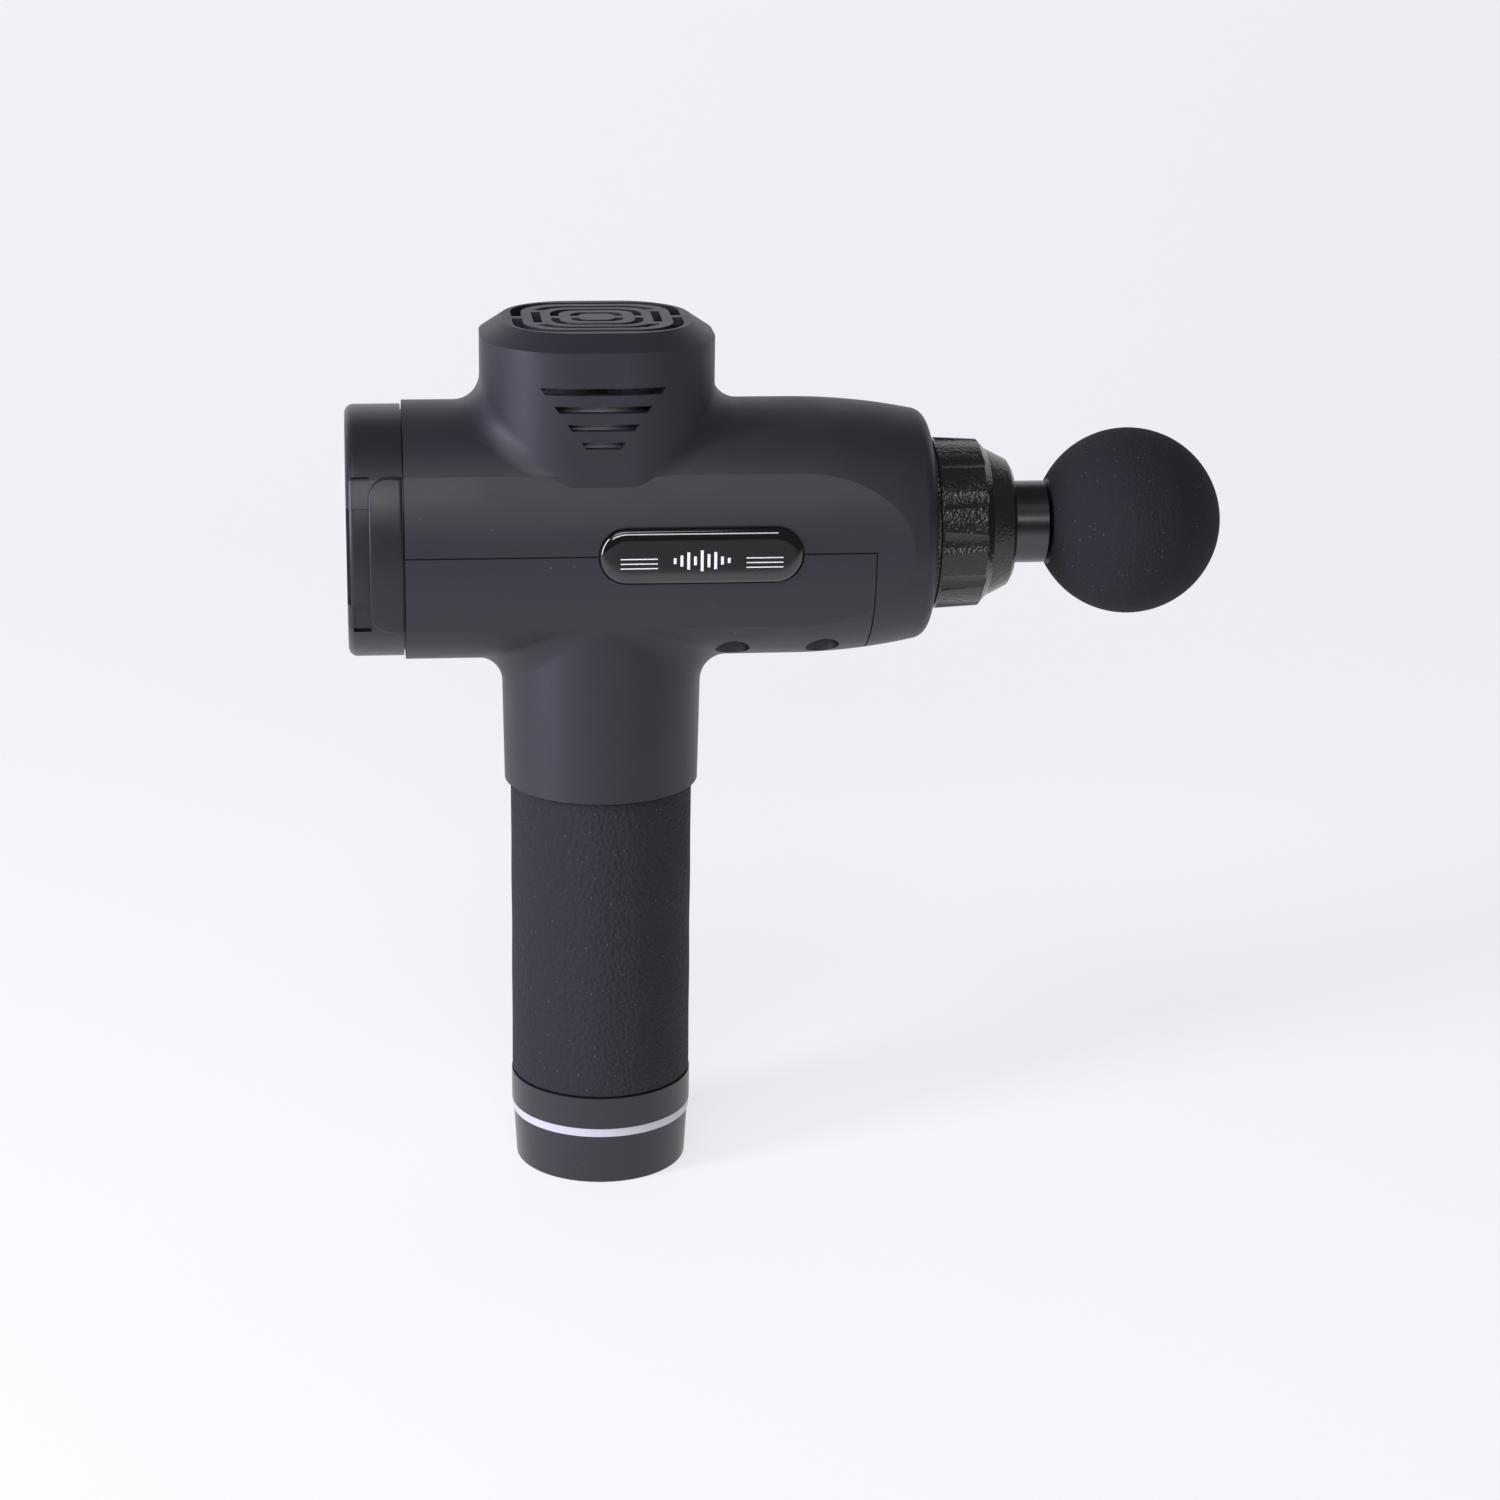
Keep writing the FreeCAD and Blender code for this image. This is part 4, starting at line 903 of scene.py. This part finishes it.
def level_lights(name):
    """A row of small round lights on an arc, just proud of the window."""
    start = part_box("display_lens")[0].x - LIGHT_PROUD
    shoulder = LIGHT_RADIUS - LIGHT_EDGE
    profile = [(LIGHT_CORE, 0), (shoulder, 0), (LIGHT_RADIUS, LIGHT_EDGE), (LIGHT_CORE, LIGHT_EDGE)]
    angles = [LIGHT_STEP * (index - (LIGHT_COUNT - 1) / 2) for index in range(LIGHT_COUNT)]
    spots = [Vector((0, LIGHT_CIRCLE * math.cos(angle), LIGHT_CIRCLE * math.sin(angle)))
             for angle in angles]
    first = spots[0] + Vector((start, 0, barrel_axis()))
    lights = [turned("level_light", profile, first, "X", LIGHT_SEGMENTS)]
    for spot in spots[1:]:
        light = copied(lights[0], "level_light")
        light.location = spot - spots[0]
        lights.append(light)
    return settle(joined(name, lights))


class GUN_OT_controls(Operator):
    """Model the marks on the rear buttons and the row of level lights"""

    bl_idname = "gun.controls"
    bl_label = "Controls"

    def execute(self, context):
        proud = context.scene.gun_shape.print_height
        print_colour = tuple(context.scene.gun_finish.print_colour)
        ink = plastic("control_print", print_colour, 0.4, 0.000002)
        flat = (MARK_ARM, MARK_STROKE)
        upright = (MARK_STROKE, MARK_ARM)
        marks = ((button_mark("plus_button", (flat, upright), proud), "plus_key"),
                 (button_mark("minus_button", (flat,), proud), "minus_key"),
                 (power_mark("power_button", proud), "power_key"))
        for mark, body in marks:
            dress(mark, ink)
            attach(mark, body)
        row = level_lights("level_lights")
        dress(row, MATERIALS["light_white"])
        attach(row, "housing")
        return {"FINISHED"}


# ---- stage -------------------------------------------------------------------------------------
NEAR = 1.0 * MM
ROOM_TINT = (0.97, 0.96, 1.0, 1.0)
# The room's strength where the camera looks straight at it.
ROOM_SEEN = 0.88
LIGHT_AIM = (0.04, 0, 0.14)
# Each light's name, the setting with its power, its place, its width and height, and its colour.
SOFTBOXES = (
    ("key_softbox", "key_power", (-0.35, -0.9, 1.35), (1.1, 0.7), (1.0, 1.0, 1.0)),
    ("front_softbox", "front_power", (-0.2, -1.6, 0.84), (1.1, 0.3), (1.0, 1.0, 1.0)),
    ("left_softbox", "side_power", (-1.22, -0.58, 0.5), (0.35, 1.1), (0.84, 0.78, 1.0)),
)


def soft_light(name, place, size, power, colour):
    """A rectangular area light that faces the object."""
    bpy.ops.object.light_add(type="AREA", location=place)
    light = bpy.context.object
    light.name = name
    light.data.shape = "RECTANGLE"
    light.data.size, light.data.size_y = size
    light.data.energy = power
    light.data.color = colour
    aim = Vector(LIGHT_AIM) - Vector(place)
    light.rotation_euler = aim.to_track_quat("-Z", "Y").to_euler()


def select_edges(piece, wanted):
    """Selects the edges whose two ends both pass a test."""
    for edge in piece.data.edges:
        ends = [piece.data.vertices[index].co for index in edge.vertices]
        edge.select = all(wanted(end) for end in ends)


def backdrop(name, size, wall_distance, wall_height):
    """A floor that curves up into a wall behind the object."""
    clear_selection()
    bpy.ops.mesh.primitive_plane_add(size=1, location=(0, 0, 0))
    floor = name_piece(name)
    floor.scale = (size, size / 2 + wall_distance, 1)
    floor.location = (0, (wall_distance - size / 2) / 2, cad_bounds[0][2])
    bpy.ops.object.transform_apply(location=True, rotation=True, scale=True)
    bpy.ops.object.mode_set(mode="EDIT")
    bpy.ops.mesh.select_all(action="DESELECT")
    bpy.ops.mesh.select_mode(type="EDGE")
    bpy.ops.object.mode_set(mode="OBJECT")
    select_edges(floor, lambda end: end.y > wall_distance - NEAR)
    bpy.ops.object.mode_set(mode="EDIT")
    bpy.ops.mesh.extrude_region_move(TRANSFORM_OT_translate={"value": (0, 0, wall_height)})
    bpy.ops.object.mode_set(mode="OBJECT")
    select_edges(floor, lambda end: end.y > wall_distance - NEAR and end.z < NEAR)
    bpy.ops.object.mode_set(mode="EDIT")
    bpy.ops.mesh.bevel(offset=wall_height / 2, segments=16, affect="EDGES")
    bpy.ops.mesh.select_mode(type="VERT")
    bpy.ops.object.mode_set(mode="OBJECT")
    bpy.ops.object.shade_smooth_by_angle(angle=math.radians(30))
    return floor


def seen_or_else(tree, seen, otherwise):
    """One strength where the camera looks straight at a surface, and another in reflections."""
    path = tree.nodes.new("ShaderNodeLightPath")
    mix = tree.nodes.new("ShaderNodeMix")
    mix.inputs["B"].default_value = seen
    if isinstance(otherwise, float):
        mix.inputs["A"].default_value = otherwise
    else:
        tree.links.new(otherwise, mix.inputs["A"])
    tree.links.new(path.outputs["Is Camera Ray"], mix.inputs["Factor"])
    return mix.outputs["Result"]


# The glow fades between these two places in front of the object, down to the last value.
GLOW_ENDS = -0.7
GLOW_STARTS = -0.28
GLOW_LEAST = 0.03


def floor_finish(glow):
    """Pale paper, evenly lit round the object, that mirrors as a dark room in front of it."""
    finish = Finish("pale_floor", (0.34, 0.335, 0.345), 0.8)
    mottle = finish.grain(300.0, 0.00001, mottle_scale=3.0)
    finish.mix_colour(mottle, (0.32, 0.315, 0.325), 0.6)
    split = finish.tree.nodes.new("ShaderNodeSeparateXYZ")
    finish.tree.links.new(finish.coordinates, split.inputs["Vector"])
    fall = finish.tree.nodes.new("ShaderNodeMapRange")
    fall.interpolation_type = "SMOOTHSTEP"
    fall.inputs["From Min"].default_value = GLOW_ENDS
    fall.inputs["From Max"].default_value = GLOW_STARTS
    fall.inputs["To Min"].default_value = GLOW_LEAST
    fall.inputs["To Max"].default_value = glow
    finish.tree.links.new(split.outputs["Y"], fall.inputs["Value"])
    finish.tree.links.new(seen_or_else(finish.tree, glow, fall.outputs["Result"]),
                          finish.shader.inputs["Emission Strength"])
    return finish.done(Specular_IOR_Level=0.0, Emission_Color=ROOM_TINT)


def soft_room(strength):
    """The even light of the room, brighter where the camera sees it."""
    world = bpy.data.worlds.new("soft_room")
    world.use_nodes = True
    background = world.node_tree.nodes["Background"]
    background.inputs["Color"].default_value = ROOM_TINT
    world.node_tree.links.new(seen_or_else(world.node_tree, ROOM_SEEN, strength),
                              background.inputs["Strength"])
    return world


def aimed_camera(stage):
    """A camera at its distance from the target, turned by its yaw, pitch and roll."""
    yaw, pitch, roll = stage.camera_yaw, stage.camera_pitch, stage.camera_roll
    view = Vector((math.sin(yaw) * math.cos(pitch), math.cos(yaw) * math.cos(pitch),
                   -math.sin(pitch)))
    right = Vector((math.cos(yaw), -math.sin(yaw), 0))
    up = right.cross(view)
    leaned_right = right * math.cos(roll) + up * math.sin(roll)
    leaned_up = up * math.cos(roll) - right * math.sin(roll)
    place = Vector(stage.camera_target) - view * stage.camera_distance
    bpy.ops.object.camera_add(location=place)
    camera = bpy.context.object
    camera.name = "camera"
    turn = Matrix((leaned_right, leaned_up, -view)).transposed().to_4x4()
    camera.matrix_world = Matrix.Translation(place) @ turn
    camera.data.lens = stage.camera_lens
    camera.data.sensor_width = 36.0
    return camera


class GUN_OT_stage(Operator):
    """Make the pale floor, the soft lights and the camera"""

    bl_idname = "gun.stage"
    bl_label = "Stage"

    def execute(self, context):
        stage = context.scene.gun_stage
        clear_selection()
        floor = backdrop("floor", stage.floor_size, stage.wall_distance, stage.wall_height)
        dress(floor, floor_finish(stage.floor_glow))
        context.scene.world = soft_room(stage.world_strength)
        for name, power, place, size, colour in SOFTBOXES:
            soft_light(name, place, size, getattr(stage, power), colour)
        context.scene.camera = aimed_camera(stage)
        context.scene.view_settings.view_transform = "Standard"
        return {"FINISHED"}


# ---- panel and registration --------------------------------------------------------------------
class GUN_PT_panel(Panel):
    """The steps that finish the massage gun"""

    bl_label = "Massage gun"
    bl_idname = "GUN_PT_panel"
    bl_space_type = "VIEW_3D"
    bl_region_type = "UI"
    bl_category = "Massage gun"

    def draw(self, context):
        scene = context.scene
        for settings in (scene.gun_finish, scene.gun_shape, scene.gun_stage):
            box = self.layout.box()
            for name in settings.__annotations__:
                box.prop(settings, name)
        for step in STEPS:
            self.layout.operator(step.bl_idname)


STEPS = (GUN_OT_stage, GUN_OT_finish_cad, GUN_OT_foam_ball, GUN_OT_grip_sleeve, GUN_OT_badges,
         GUN_OT_side_pads, GUN_OT_collar_knurl, GUN_OT_controls)
CLASSES = (GunFinishSettings, GunShapeSettings, GunStageSettings) + STEPS + (GUN_PT_panel,)


def register():
    for cls in CLASSES:
        bpy.utils.register_class(cls)
    bpy.types.Scene.gun_finish = PointerProperty(type=GunFinishSettings)
    bpy.types.Scene.gun_shape = PointerProperty(type=GunShapeSettings)
    bpy.types.Scene.gun_stage = PointerProperty(type=GunStageSettings)


def unregister():
    del bpy.types.Scene.gun_stage
    del bpy.types.Scene.gun_shape
    del bpy.types.Scene.gun_finish
    for cls in reversed(CLASSES):
        bpy.utils.unregister_class(cls)


def main():
    register()
    bpy.ops.gun.stage()
    bpy.ops.gun.finish_cad()
    bpy.ops.gun.foam_ball()
    bpy.ops.gun.grip_sleeve()
    bpy.ops.gun.badges()
    bpy.ops.gun.side_pads()
    bpy.ops.gun.collar_knurl()
    bpy.ops.gun.controls()


if __name__ == "__main__":
    main()
